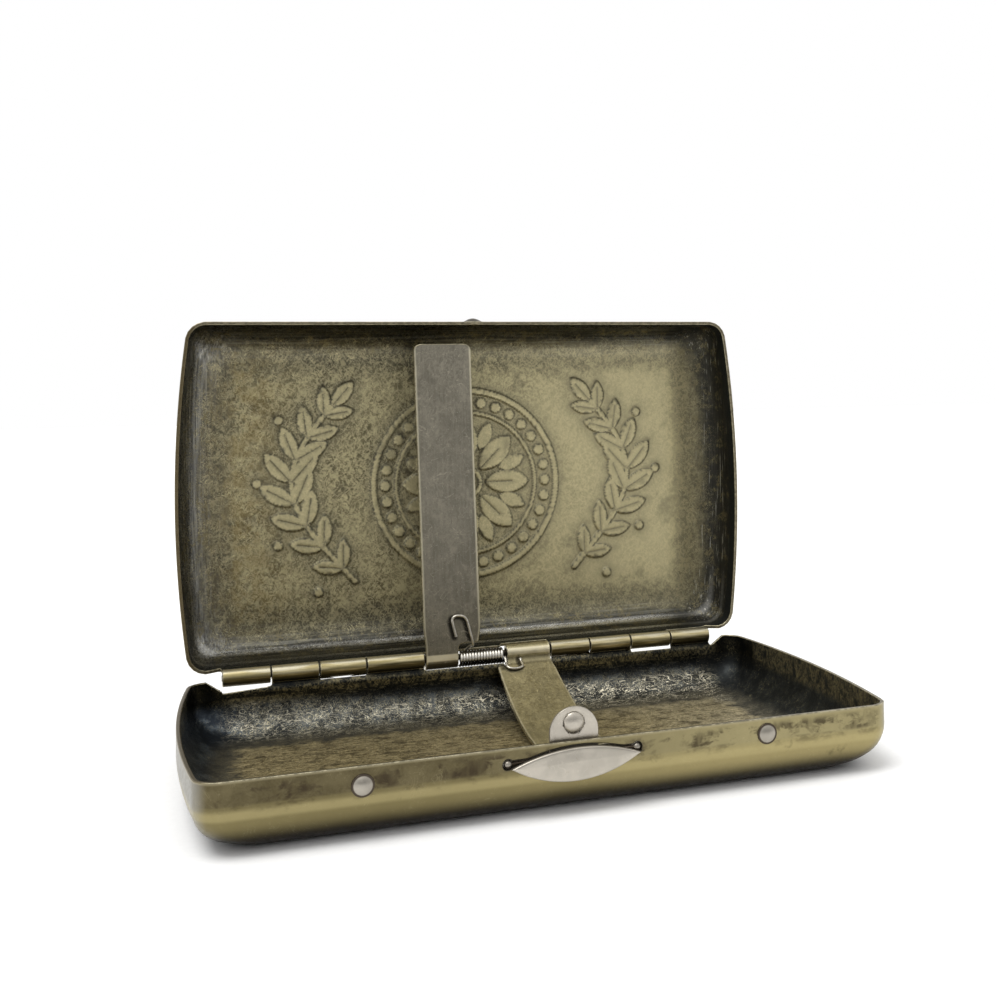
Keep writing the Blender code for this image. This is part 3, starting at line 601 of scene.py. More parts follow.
def half_sheet(tabs, spacing, front_holes, front_reach, floor_points, floor_lift, bulge):
    """Middle surface of one pressed half in tray coordinates."""
    wall_plan = plan(SHEET / 2)
    slope_start = HINGE_END + GAP
    shoulder = slope_start + (HALF_DEPTH - OUTER_NOTCH_LEVEL) / SLOPE
    needed = [-shoulder, -PANEL_END, PANEL_END, shoulder, -front_reach, front_reach]
    for low, high in tabs:
        needed += [low, high]
    across = side_stations(spacing, needed)
    end_count = round(2 * wall_plan["end_length"] / (spacing * 1.15))
    deep = np.linspace(-1, 1, end_count + 1)
    sheet = SheetMesh()

    def ring_level(inset, height):
        """The four sides of one level, each as a list of points."""
        shape = plan(inset)
        back = [(*side_point(shape, f), height) for f in across]
        front = [(x, -y, z) for x, y, z in back]
        right = [(*end_point(shape, f), height) for f in deep]
        left = [(-x, y, z) for x, y, z in right]
        return {"back": back, "front": front, "right": right, "left": left}

    # Floor
    floor = ring_level(EDGE_RADIUS, SHEET / 2)
    edge = floor["front"] + floor["right"][1:] + floor["back"][::-1][1:] + floor["left"][::-1][1:-1]
    found, faces = fill_sheet([(x, y) for x, y, z in edge], extra=floor_points(spacing), margin=spacing * 0.35)
    lift = floor_lift(found[:, 0], found[:, 1])
    sheet.points += [(x, y, SHEET / 2 + rise) for (x, y), rise in zip(found, lift)]
    sheet.faces += faces
    sheet.slots += [0] * len(faces)

    # Round edge between floor and walls
    middle_radius = EDGE_RADIUS - SHEET / 2
    levels = []
    for index in range(15):
        angle = math.pi / 2 * index / 14
        inset = EDGE_RADIUS - middle_radius * math.sin(angle)
        levels.append(ring_level(inset, EDGE_RADIUS - middle_radius * math.cos(angle)))
    for side in ("back", "front", "right", "left"):
        sheet.grid([level[side] for level in levels])

    # Plain walls
    wall = levels[-1]
    places = across * wall_plan["side_length"]
    for side in ("right", "left"):
        sheet.grid(wall_grid(wall[side], [HALF_DEPTH] * len(wall[side])))
    back_tops = [min(HALF_DEPTH, OUTER_NOTCH_LEVEL + (abs(place) - slope_start) * SLOPE) for place in places]
    for side, reach, tops in (("back", PANEL_END, back_tops), ("front", front_reach, [HALF_DEPTH] * len(places))):
        for low, high in ((-1e9, -reach), (reach, 1e9)):
            chosen = [i for i, place in enumerate(places) if low - 1e-6 <= place <= high + 1e-6]
            sheet.grid(wall_grid([wall[side][i] for i in chosen], [tops[i] for i in chosen]))

    # Back panel with its tabs and curls
    panel = [place for place in places if abs(place) <= PANEL_END + 1e-6]
    dip = (FOOT_RADIUS + 2 * CREASE_RADIUS) * LEAN
    curl_rows = [FOOT_Z + dip * step / 16 for step in range(16)]
    curl_rows += [CURL_LEVEL + CURL_RADIUS * CURL_TURN * step / 28 for step in range(28)]
    outline = back_outline(panel, tabs, rows_up_to(OUTER_NOTCH_LEVEL + (PANEL_END - slope_start) * SLOPE)[1:])
    columns = [x for low, high in tabs for x in np.linspace(low, high, 10)]
    between = [x for x in np.arange(-HINGE_END, HINGE_END, 0.9)
               if not any(low - 0.4 < x < high + 0.4 for low, high in tabs)]
    extra = [(x, row) for x in between for row in curl_rows if row < NOTCH_LEVEL]
    found, faces = fill_sheet(outline, curl_rows, columns, extra=extra, margin=0.15, side=PANEL_END - 0.01)
    sheet.triangles(found, faces, on_back_wall, lambda along, height: 4 if height > CREASE.y + 0.1 else 0)

    # Front panel with the clasp opening or the catch bump
    panel = [place for place in places if abs(place) <= front_reach + 1e-6]
    front_rows = rows_up_to(HALF_DEPTH)[1:]
    outline = [(x, EDGE_RADIUS) for x in panel]
    outline += [(front_reach, z) for z in front_rows]
    outline += [(x, HALF_DEPTH) for x in reversed(panel[1:-1])]
    outline += [(-front_reach, z) for z in reversed(front_rows)]
    extra = bump_points(*bulge[:2]) if bulge else []
    found, faces = fill_sheet(outline, holes=front_holes, extra=extra)
    sheet.triangles(found, faces, lambda x, z: (x, -HALF_WIDTH + SHEET / 2, z))
    if bulge:
        centre, radius, height = bulge
        for index, (x, y, z) in enumerate(sheet.points):
            away = math.hypot(x, z - centre) / (radius * BUMP_SPREAD)
            if y < 0 and away < 1:
                sheet.points[index] = (x, y - height * (1 - away ** 2) ** 1.6, z)
    return sheet


def turned_about_pin(points, angle, before, after):
    """Points turned about the pin, with their heights turned over before or after."""
    moved = np.array(points, dtype=float) - np.array(HINGE)
    y, z = moved[:, 1].copy(), before * moved[:, 2]
    c, s = math.cos(angle), math.sin(angle)
    moved[:, 1] = y * c - z * s
    moved[:, 2] = after * (y * s + z * c)
    return moved + np.array(HINGE)


def lid_place(points):
    """Turns tray coordinates over about the parting plane and opens them about the pin."""
    return turned_about_pin(points, -LID_OPENING, -1, 1)


def lid_back(points):
    """Takes points of the open lid back to tray coordinates."""
    return turned_about_pin(points, LID_OPENING, 1, -1)


def zone_of(points):
    """0 on the floor, up to 1 through the round edge, up to 2 at the rim."""
    z = np.clip(points[:, 2], 0, None)
    radius = EDGE_RADIUS - SHEET / 2
    turned = np.arccos(np.clip((EDGE_RADIUS - z) / radius, 0, 1)) / (math.pi / 2)
    on_floor = (np.abs(points[:, 0]) < HALF_LENGTH - EDGE_RADIUS - 3) & (
        np.abs(points[:, 1]) < HALF_WIDTH - EDGE_RADIUS)
    zone = np.where(z > EDGE_RADIUS, 1 + (z - EDGE_RADIUS) / (HALF_DEPTH - EDGE_RADIUS), turned)
    return np.where(on_floor, 0.0, zone)


def margin_of(points):
    """Distance in from the plan outline, in millimetres."""
    radius = plan(0.0)["end_radius"]
    y = np.clip(np.abs(points[:, 1]), 0, HALF_WIDTH)
    ends = HALF_LENGTH - radius + np.sqrt(radius ** 2 - y ** 2) - np.abs(points[:, 0])
    return np.clip(np.minimum(HALF_WIDTH - y, ends), 0, 30)


# Pressed ornament of the lid: a rosette medallion between two leafy branches

def leaf_distance(x, y, root, angle, length, width):
    """Distance to a pointed leaf, negative inside, and the place across and along it."""
    c, s = math.cos(angle), math.sin(angle)
    along = (x - root[0]) * c + (y - root[1]) * s - length / 2
    across = np.abs(-(x - root[0]) * s + (y - root[1]) * c)
    radius = (length ** 2 / 4 + width ** 2 / 4) / width
    distance = np.hypot(along, across + radius - width / 2) - radius
    return distance, across, along


def raised(distance):
    """Soft step from 0 outside a shape's edge to 1 inside it."""
    share = np.clip(0.5 - distance / 0.36, 0, 1)
    return share * share * (3 - 2 * share)


def branch_shapes():
    """Leaves as (root, angle, length, width), berries as (centre, radius) and the stem's points."""
    stem = []
    for step in range(41):
        t = step / 40
        stem.append((22.0 + 8.0 * math.sin(math.pi * (t * 1.05 - 0.10)), -16.0 + 30.0 * t))

    def heading(before, after):
        return math.atan2(after[1] - before[1], after[0] - before[0])

    leaves, berries = [], []
    for step in range(3, 40, 5):
        x, y = stem[step]
        ahead = heading(stem[step - 1], stem[step + 1])
        size = 1 - 0.30 * abs(step / 20 - 1)
        leaves += [((x, y), ahead + side, 7.0 * size, 3.1 * size) for side in (0.72, -0.72)]
        if step % 10 == 3:
            out = ahead - math.pi / 2
            berries.append(((x + 5.6 * math.cos(out), y + 5.6 * math.sin(out)), 0.75))
    leaves.append((stem[-1], heading(stem[-2], stem[-1]), 5.6, 2.7))
    return stem, leaves, berries


def ornament(x, y):
    """Height of the relief from 0 to 1, the distance to its edge and to its inner lines."""
    nearest = np.full(x.shape, 1e3)
    inner = np.full(x.shape, 1e3)
    height = np.zeros(x.shape)

    def press(distance, level, lines=()):
        nonlocal nearest, height, inner
        top = np.full(x.shape, float(level))
        for away, half, depth in lines:
            hidden = np.where(distance < 0, away, 1e3)
            inner = np.minimum(inner, np.abs(hidden))
            top -= depth * np.clip(1 - np.abs(hidden) / half, 0, 1)
        taller = raised(distance) * top
        nearest = np.minimum(nearest, distance)
        height = np.maximum(height, taller)

    stem, leaves, berries = branch_shapes()
    for mirror in (1, -1):
        mx = x * mirror
        for root, angle, length, width in leaves:
            distance, across, along = leaf_distance(mx, y, root, angle, length, width)
            vein = np.where(along < length * 0.3, across, 1e3)
            press(distance, 0.92, ((vein, 0.3, 0.42),))
        line = np.full(x.shape, 1e3)
        for (x1, y1), (x2, y2) in zip(stem, stem[1:]):
            dx, dy = x2 - x1, y2 - y1
            share = np.clip(((mx - x1) * dx + (y - y1) * dy) / (dx * dx + dy * dy), 0, 1)
            line = np.minimum(line, np.hypot(mx - x1 - share * dx, y - y1 - share * dy))
        press(line - 0.45, 0.85)
        for (bx, by), radius in berries:
            press(np.hypot(mx - bx, y - by) - radius, 0.9)

    reach = np.hypot(x, y)
    angle = np.arctan2(y, x)
    press(np.abs(reach - 16.3) - 0.5, 0.9)
    press(np.abs(reach - 12.4) - 0.32, 0.85)
    step = 2 * math.pi / 32
    local = (angle + step / 2) % step - step / 2
    press(np.hypot(reach * np.cos(local) - 14.3, reach * np.sin(local)) - 0.92, 0.82)
    step = 2 * math.pi / 8
    local = (angle + step) % step - step / 2
    distance, _, _ = leaf_distance(reach * np.cos(local), reach * np.sin(local), (6.2, 0.0), 0.0, 5.2, 2.5)
    press(distance, 0.75)
    local = (angle + step / 2) % step - step / 2
    distance, across, along = leaf_distance(reach * np.cos(local), reach * np.sin(local), (3.3, 0.0), 0.0, 8.0, 4.1)
    vein = np.where(along < 1.12, across, 1e3)
    press(distance, 1.0, ((vein, 0.32, 0.5),))
    press(np.abs(reach - 2.45) - 0.36, 1.0)
    press(reach - 1.25, 0.95)
    return height, nearest, inner


# Arms

LID_ARM = {"curl": -4.0, "plate": -0.6, "far": -9.45, "notch": 2.4, "length": 53.0,
           "flare": ((2.4, 0.0, 0.0), (5.0, 0.30, 0.42), (52.0, 1.05, -0.1))}
TRAY_ARM = {"curl": 4.3, "plate": 2.4, "far": 11.85, "notch": 2.4,
            "flare": ((1.6, 0.0, 0.0), (4.0, 0.35, 0.05), (12.0, 0.70, 0.15), (30.0, 0.85, 0.40))}
ARM_SHEET = 0.55
ARM_CURL = 0.8 + ARM_SHEET / 2
ARM_TIP_CORNER = 1.2
ARM_NOTCH_RADIUS = 0.9
LID_ARM_LEAN = math.radians(2.0)
LID_CURL_SLACK = 0.31
COIL_CLEARANCE = 0.16
TRAY_BEND_RADIUS = 1.4
TRAY_FLOOR_REACH = 30.0
TRAY_CURVE_POWER = 2.1


def arm_outline(curl, plate, far, notch, length):
    """Flat outline of an arm as (across, along), with its curl below zero."""
    side = 1 if plate > far else -1
    curl_end = -ARM_CURL * ARM_CURL_TURN
    corner = 0.35
    outline = [(far, curl_end), (curl, curl_end), (curl, notch - ARM_NOTCH_RADIUS)]
    for step in range(1, 7):
        angle = math.pi / 2 * step / 6
        outline.append((curl + side * ARM_NOTCH_RADIUS * (1 - math.cos(angle)),
                        notch - ARM_NOTCH_RADIUS * (1 - math.sin(angle))))
    for step in range(5):
        angle = math.pi / 2 * step / 4
        outline.append((plate - side * corner * (1 - math.sin(angle)), notch + corner * (1 - math.cos(angle))))
    for edge, sign, order in ((plate, side, range(7)), (far, -side, range(6, -1, -1))):
        for step in order:
            angle = math.pi / 2 * step / 6
            outline.append((edge - sign * ARM_TIP_CORNER * (1 - math.cos(angle)),
                            length - ARM_TIP_CORNER * (1 - math.sin(angle))))
    return outline


def lid_arm_line(distance):
    """Side view of the lid's arm about the pin, before the lid's turn."""
    leave = math.pi / 2 + LID_ARM_LEAN
    if distance < 0:
        turned = -distance / ARM_CURL
        radius = ARM_CURL + (LID_CURL_SLACK * math.sin(turned) ** 2 if turned < math.pi else 0.0)
        return radius * math.cos(leave - turned), radius * math.sin(leave - turned)
    y = ARM_CURL * math.cos(leave) - math.cos(LID_ARM_LEAN) * distance
    return y, ARM_CURL * math.sin(leave) - math.sin(LID_ARM_LEAN) * distance


def tray_arm_parts():
    floor = SHEET + GAP + ARM_SHEET / 2 - HINGE_Z
    fall = -ARM_SHEET - TRAY_BEND_RADIUS - floor
    slope = math.atan(TRAY_CURVE_POWER * fall / (TRAY_FLOOR_REACH - ARM_CURL))
    turn = math.pi / 2 - slope
    centre = (-ARM_CURL - TRAY_BEND_RADIUS, -ARM_SHEET)
    knee = (centre[0] + TRAY_BEND_RADIUS * math.cos(turn), centre[1] - TRAY_BEND_RADIUS * math.sin(turn))
    return floor, turn, centre, knee


def tray_arm_length():
    _, turn, _, knee = tray_arm_parts()
    reach = HINGE_Y + HALF_WIDTH - EDGE_RADIUS - 0.6
    return ARM_SHEET + TRAY_BEND_RADIUS * turn + reach + knee[0]


def tray_arm_line(distance):
    """Side view of the tray's arm about the pin: curl, reverse bend, fall and floor stretch."""
    floor, turn, centre, knee = tray_arm_parts()
    if distance < 0:
        angle = math.pi + distance / ARM_CURL
        return ARM_CURL * math.cos(angle), ARM_CURL * math.sin(angle)
    if distance <= ARM_SHEET:
        return -ARM_CURL, -distance
    bend = TRAY_BEND_RADIUS * turn
    if distance <= ARM_SHEET + bend:
        angle = -(distance - ARM_SHEET) / TRAY_BEND_RADIUS
        return centre[0] + TRAY_BEND_RADIUS * math.cos(angle), centre[1] + TRAY_BEND_RADIUS * math.sin(angle)
    run = distance - ARM_SHEET - bend
    share = min(1.0, run / (TRAY_FLOOR_REACH + knee[0]))
    return knee[0] - run, floor + (knee[1] - floor) * (1 - share) ** TRAY_CURVE_POWER


def smooth_route(corners, radius, steps=8):
    """Route through corner points with its corners rounded."""
    points = [corners[0]]
    for before, corner, after in zip(corners, corners[1:], corners[2:]):
        back, ahead = before - corner, after - corner
        reach = min(radius, back.length * 0.48, ahead.length * 0.48)
        start = corner + back.normalized() * reach
        end = corner + ahead.normalized() * reach
        for index in range(steps + 1):
            share = index / steps
            points.append(start.lerp(corner, share).lerp(corner.lerp(end, share), share))
    points.append(corners[-1])
    return points


def spring_measures():
    """Wire radius, coil radius, sag, and left and right end of the coil's wire between the two arms' curls."""
    spring = settings("case_spring")
    wire = spring.wire_radius / MM
    left = LID_ARM["curl"] + COIL_CLEARANCE + wire
    right = TRAY_ARM["curl"] - COIL_CLEARANCE - wire
    return wire, spring.coil_radius / MM, spring.sag / MM, left, right


def lid_hook_route():
    """Wire hooked over the lid's arm, then under its edge and back to the coil."""
    wire, radius, sag, left, _ = spring_measures()
    under = LID_ARM["notch"] - wire - 0.12
    c, s = math.cos(-LID_OPENING), math.sin(-LID_OPENING)
    (y1, z1), (y2, z2) = (((y * c + z * s), (y * s - z * c)) for y, z in (lid_arm_line(3.0), lid_arm_line(8.0)))

    def face(height):
        return y1 + (y2 - y1) * (height - z1) / (z2 - z1) - ARM_SHEET / 2 - wire - 0.01

    corners = (
        (-4.42, face(3.7), 3.7), (-5.25, face(7.12), 7.12), (-2.72, face(7.12), 7.12),
        (-1.62, face(under + 0.5), under + 0.5), (-1.55, face(under) + 0.25, under - 0.1), (-1.6, -0.1, under - 0.25),
        (-2.2, 0.75, 1.15), (left, radius, -sag))
    return [point + HINGE for point in smooth_route([Vector(corner) for corner in corners], 1.3)]


def tray_hook_route():
    """Wire from the coil over the tray's arm, with its end bent back up."""
    wire, radius, sag, _, right = spring_measures()

    def on_arm(x, distance, lift=0.0):
        y, z = tray_arm_line(distance)
        y2, z2 = tray_arm_line(distance + 0.3)
        along = Vector((y2 - y, z2 - z)).normalized()
        away = ARM_SHEET / 2 + wire + 0.02 + lift
        return Vector((x, HINGE_Y + y + along.y * away, HINGE_Z + z - along.x * away))

    hook_left = right + 0.02
    half = 1.34
    route = [Vector((right, HINGE_Y - radius, HINGE_Z - sag)),
             Vector((right + 0.02, HINGE_Y - radius - 0.08, HINGE_Z - 0.7))]
    route += [on_arm(hook_left, distance) for distance in (1.1, 1.6, 2.1, 2.6)]
    for index in range(0, 13):
        angle = math.pi - math.pi * index / 12
        route.append(on_arm(hook_left + half + half * math.cos(angle), 2.8 + 0.75 * math.sin(angle)))
    for step in range(5):
        route.append(on_arm(hook_left + 2 * half - 0.03 * step, 2.6 - 0.40 * step, -0.03 * step))
    return route


def flared(shape, across, along):
    """Moves a point of a plain strip out to the arm's slightly wider, skewed outline."""
    runs, far_shifts, plate_shifts = zip(*shape["flare"])
    far, plate = shape["far"], shape["plate"]
    outward = 1 if far > plate else -1
    share = (across - far) / (plate - far)
    shift = np.interp(along, runs, far_shifts) * (1 - share) - np.interp(along, runs, plate_shifts) * share
    return across + outward * float(shift)


def arm_piece(name, shape, length, line, open_lid, metals, hook, around):
    """Arm cut flat, rolled along its side view, thickened and worn round."""
    outline = arm_outline(shape["curl"], shape["plate"], shape["far"], shape["notch"], length)
    curl_length = ARM_CURL * ARM_CURL_TURN
    rows = [-curl_length * step / 30 for step in range(30)]
    rows += [0.25 * step for step in range(1, 20)]
    rows += list(np.arange(5.0, length - ARM_TIP_CORNER, 1.0))
    low, high = sorted((shape["far"], shape["plate"]))
    columns = list(np.linspace(low, high, 12))[1:-1]
    low_x, high_x, low_run, high_run = around
    extra = [(x, run) for x in np.arange(low_x, high_x, 0.19) for run in np.arange(low_run + 0.11, high_run, 0.19)]
    found, faces = fill_sheet(outline, rows, columns, extra=extra)

    def place(across, along):
        y, z = line(along)
        across = flared(shape, across, along)
        if open_lid:
            c, s = math.cos(-LID_OPENING), math.sin(-LID_OPENING)
            y, z = y * c + z * s, y * s - z * c
        return across, HINGE_Y + y, HINGE_Z + z

    sheet = SheetMesh()
    sheet.triangles(found, faces, place)
    piece = new_object(name, sheet.points, sheet.faces, metals)
    merge_and_orient(piece)
    thicken(piece, ARM_SHEET, 0, 1)
    round_edges(piece, settings("case_shell").edge_round, 1)
    baked(piece)
    points = points_of(piece.data)
    # Painted shadow of the hook wire: how close the arm lies to the wire's path, shifted down and to the left.
    away = line_distance(points, [np.array(point) + np.array((-0.30, 0.0, -0.20)) for point in hook])
    store(piece.data, "grime", np.clip(1.25 - (away - 0.25) / 0.34, 0, 1))
    run = np.hypot(points[:, 1] - HINGE_Y, points[:, 2] - HINGE_Z)
    runs, far_shifts, plate_shifts = zip(*shape["flare"])
    outward = 1 if shape["far"] > shape["plate"] else -1
    far = shape["far"] + outward * np.interp(run, runs, far_shifts)
    plate = shape["plate"] - outward * np.interp(run, runs, plate_shifts)
    store(piece.data, "far_edge", np.abs(points[:, 0] - far))
    store(piece.data, "near_edge", np.abs(points[:, 0] - plate))
    return piece


# Node trees

class Value:
    """Output of a node. Sums and products of values add the nodes that work them out."""

    def __init__(self, nodes, socket):
        self.nodes = nodes
        self.socket = socket

    def __add__(self, other):
        return self.nodes.math("ADD", self, other)

    __radd__ = __add__

    def __sub__(self, other):
        return self.nodes.math("SUBTRACT", self, other)

    def __rsub__(self, other):
        return self.nodes.math("SUBTRACT", other, self)

    def __mul__(self, other):
        return self.nodes.math("MULTIPLY", self, other)

    def __abs__(self):
        return self.nodes.math("ABSOLUTE", self)

    def ramp(self, low, high, out_low=0.0, out_high=1.0):
        """Smooth change from one level to another."""
        values = {"Value": self, "From Min": low, "From Max": high, "To Min": out_low, "To Max": out_high}
        return self.nodes.add("MapRange", values, interpolation_type="SMOOTHSTEP")

    def band(self, low, high, soft):
        """1 between low and high, fading over soft on both sides."""
        return self.ramp(low - soft, low) * self.ramp(high, high + soft, 1.0, 0.0)

    def mix(self, first, second):
        """Colour between two others, with this value as the second one's share."""
        return self.nodes.add("Mix", {0: self, 6: first, 7: second}, 2, data_type="RGBA")


class Nodes:
    """Short way to add nodes to a tree and to join them."""

    def __init__(self, tree, family):
        self.tree = tree
        self.family = family

    def add(self, kind, values=None, output=0, **traits):
        node = self.tree.nodes.new(self.family + kind)
        for name, value in traits.items():
            setattr(node, name, value)
        for key, value in (values or {}).items():
            self.feed(node.inputs[key], value)
        return Value(self, node.outputs[output])

    def feed(self, socket, value):
        if isinstance(value, Value):
            self.tree.links.new(value.socket, socket)
        elif socket.type == "RGBA":
            socket.default_value = (*value, 1.0)
        else:
            socket.default_value = value


class GeometryTree(Nodes):
    """Geometry tree with named inputs that ends in a plain mesh with its metal set."""

    def __init__(self, name, inputs):
        super().__init__(bpy.data.node_groups.new(name, "GeometryNodeTree"), "GeometryNode")
        face = self.tree.interface
        face.new_socket(name="Geometry", in_out="INPUT", socket_type="NodeSocketGeometry")
        face.new_socket(name="Geometry", in_out="OUTPUT", socket_type="NodeSocketGeometry")
        self.inputs = {}
        for label, kind in {**inputs, "Metal": "Material"}.items():
            socket = face.new_socket(name=label, in_out="INPUT", socket_type="NodeSocket" + kind)
            self.inputs[label] = socket.identifier
        start = self.tree.nodes.new("NodeGroupInput")
        self.given = {socket.name: Value(self, socket) for socket in start.outputs if socket.name}

    def finish(self, last):
        smooth = self.add("SetShadeSmooth", {"Geometry": self.add("RealizeInstances", {0: last})})
        coat = self.add("SetMaterial", {"Geometry": smooth, "Material": self.given["Metal"]})
        self.feed(self.tree.nodes.new("NodeGroupOutput").inputs[0], coat)
        return self

    def run(self, piece, values):
        """Runs the tree on an object with its inputs set, and keeps the plain mesh."""
        modifier = piece.modifiers.new(self.tree.name, "NODES")
        modifier.node_group = self.tree
        for label, value in values.items():
            modifier[self.inputs[label]] = value
        return baked(piece)


def wire_tree():
    """Round wire along a path of points."""
    tree = GeometryTree("case_wire", {"Wire radius": "Float", "Sides": "Int"})
    path = tree.add("MeshToCurve", {"Mesh": tree.given["Geometry"]})
    profile = tree.add("CurvePrimitiveCircle", {"Radius": tree.given["Wire radius"], "Resolution": tree.given["Sides"]})
    return tree.finish(tree.add("CurveToMesh", {"Curve": path, "Profile Curve": profile, "Fill Caps": True}))


def coil_tree():
    """Helical coil that starts on the left and runs along X about the pin."""
    tree = GeometryTree("case_coil", {
        "Turns": "Float", "Coil radius": "Float", "Length": "Float", "Wire radius": "Float",
        "Start": "Vector", "Turn": "Vector"})
    given = tree.given
    helix = tree.add("CurveSpiral", {
        "Resolution": 28, "Rotations": given["Turns"], "Start Radius": given["Coil radius"],
        "End Radius": given["Coil radius"], "Height": given["Length"]})
    path = tree.add("Transform", {"Geometry": helix, "Translation": given["Start"], "Rotation": given["Turn"]})
    profile = tree.add("CurvePrimitiveCircle", {"Radius": given["Wire radius"], "Resolution": 10})
    return tree.finish(tree.add("CurveToMesh", {"Curve": path, "Profile Curve": profile, "Fill Caps": True}))


def row_tree():
    """Repeats the input mesh in a straight row."""
    tree = GeometryTree("case_row", {"Count": "Int", "Start": "Vector", "Step": "Vector"})
    given = tree.given
    row = tree.add("MeshLine", {"Count": given["Count"], "Start Location": given["Start"], "Offset": given["Step"]},
                   mode="OFFSET")
    return tree.finish(tree.add("InstanceOnPoints", {"Points": row, "Instance": given["Geometry"]}))


def path_object(name, points):
    mesh = bpy.data.meshes.new(name)
    edges = [(index, index + 1) for index in range(len(points) - 1)]
    mesh.from_pydata([tuple(Vector(point) * MM) for point in points], edges, [])
    return in_scene(name, mesh)


# Metals

class Shader(Nodes):
    """Nodes of a material or a world."""

    def __init__(self, owner):
        owner.use_nodes = True
        super().__init__(owner.node_tree, "ShaderNode")

    def math(self, operation, first, second=0.0):
        return self.add("Math", {0: first, 1: second}, operation=operation)

    def most(self, *values):
        result = values[0]
        for value in values[1:]:
            result = self.math("MAXIMUM", result, value)
        return result

    def place(self, stretch=(1.0, 1.0, 1.0), turn=(0.0, 0.0, 0.0), shift=(0.0, 0.0, 0.0)):
        """Object coordinates in millimetres, moved, turned and then stretched."""
        start = self.add("TexCoord", output="Object")
        turned = self.add("Mapping", {"Vector": start, "Rotation": turn, "Location": shift,
                                      "Scale": (1 / MM, 1 / MM, 1 / MM)})
        return self.add("VectorMath", {0: turned, 1: stretch}, operation="MULTIPLY")

    def axes(self, names):
        """Object coordinates in millimetres, one value for each named axis."""
        return [self.add("SeparateXYZ", {0: self.place()}, name) for name in names]

    def stored(self, name):
        return self.add("Attribute", output="Fac", attribute_name=name)

    def noise(self, place, scale, detail=3.0, roughness=0.55, distortion=0.0):
        values = {"Vector": place, "Scale": scale, "Detail": detail, "Roughness": roughness,
                  "Distortion": distortion}
        return self.add("TexNoise", values, "Fac")

    def hairs(self, scale, width, seed, distortion=1.0, stretch=(1.0, 1.0, 1.0)):
        """Thin curly lines where a noise passes its middle value."""
        noise = self.noise(self.place(stretch, shift=(seed, seed * 0.7, -seed)), scale, 2.0, 0.5, distortion)
        return abs(noise - 0.5).ramp(0.0, width, 1.0, 0.0)

    def scratches(self, turn, amount, seed):
        """Short straight scratches in one direction."""
        place = self.place((0.16, 6.0, 6.0), turn, (seed, seed, seed))
        return self.noise(place, 1.0, 2.0, 0.6).ramp(1 - amount, 1 - amount + 0.06)

    def strands(self, stretch, turn, scale, seed, width=0.11):
        """Short curly strands that lie mostly one way."""
        noise = self.noise(self.place(stretch, turn, (seed, -seed, seed * 0.6)), scale, 1.5, 0.5, 0.9)
        return abs(noise - 0.5).ramp(0.0, width, 1.0, 0.0)

    def fibres(self, scale=1.0):
        """Felted strands of the patina, from dark to light."""
        first = self.strands((0.5, 1.0, 1.0), (0.5, 0.8, 0.6), 1.0 * scale, 3.0)
        second = self.strands((1.0, 1.0, 0.5), (-0.4, 0.6, -0.5), 1.2 * scale, 19.0)
        speck = self.noise(self.place(), 2.4 * scale, 3.0, 0.75, 1.2)
        return ((first * 0.5 + second * 0.5) * 0.5 + speck).ramp(0.44, 0.98)

    def finish(self, colour, roughness, height, bump, depth):
        """Joins a metal's values to its surface, with its bump in millimetres."""
        surface = self.tree.nodes["Principled BSDF"].inputs
        normal = self.add("Bump", {"Height": height, "Strength": bump, "Distance": depth * MM})
        for name, value in (("Base Color", colour), ("Roughness", roughness), ("Metallic", 1.0), ("Normal", normal)):
            self.feed(surface[name], value)


def tone(colour, factor=1.0):
    """A colour, or one of the panel's colours by its name, made lighter or darker."""
    if isinstance(colour, str):
        colour = getattr(settings("case_colours"), colour)
    return tuple(channel * factor for channel in colour[:3])


def layered(colour, *layers):
    """A colour with others laid over it, each given as its share and itself."""
    for share, over in layers:
        colour = share.mix(colour, over)
    return colour


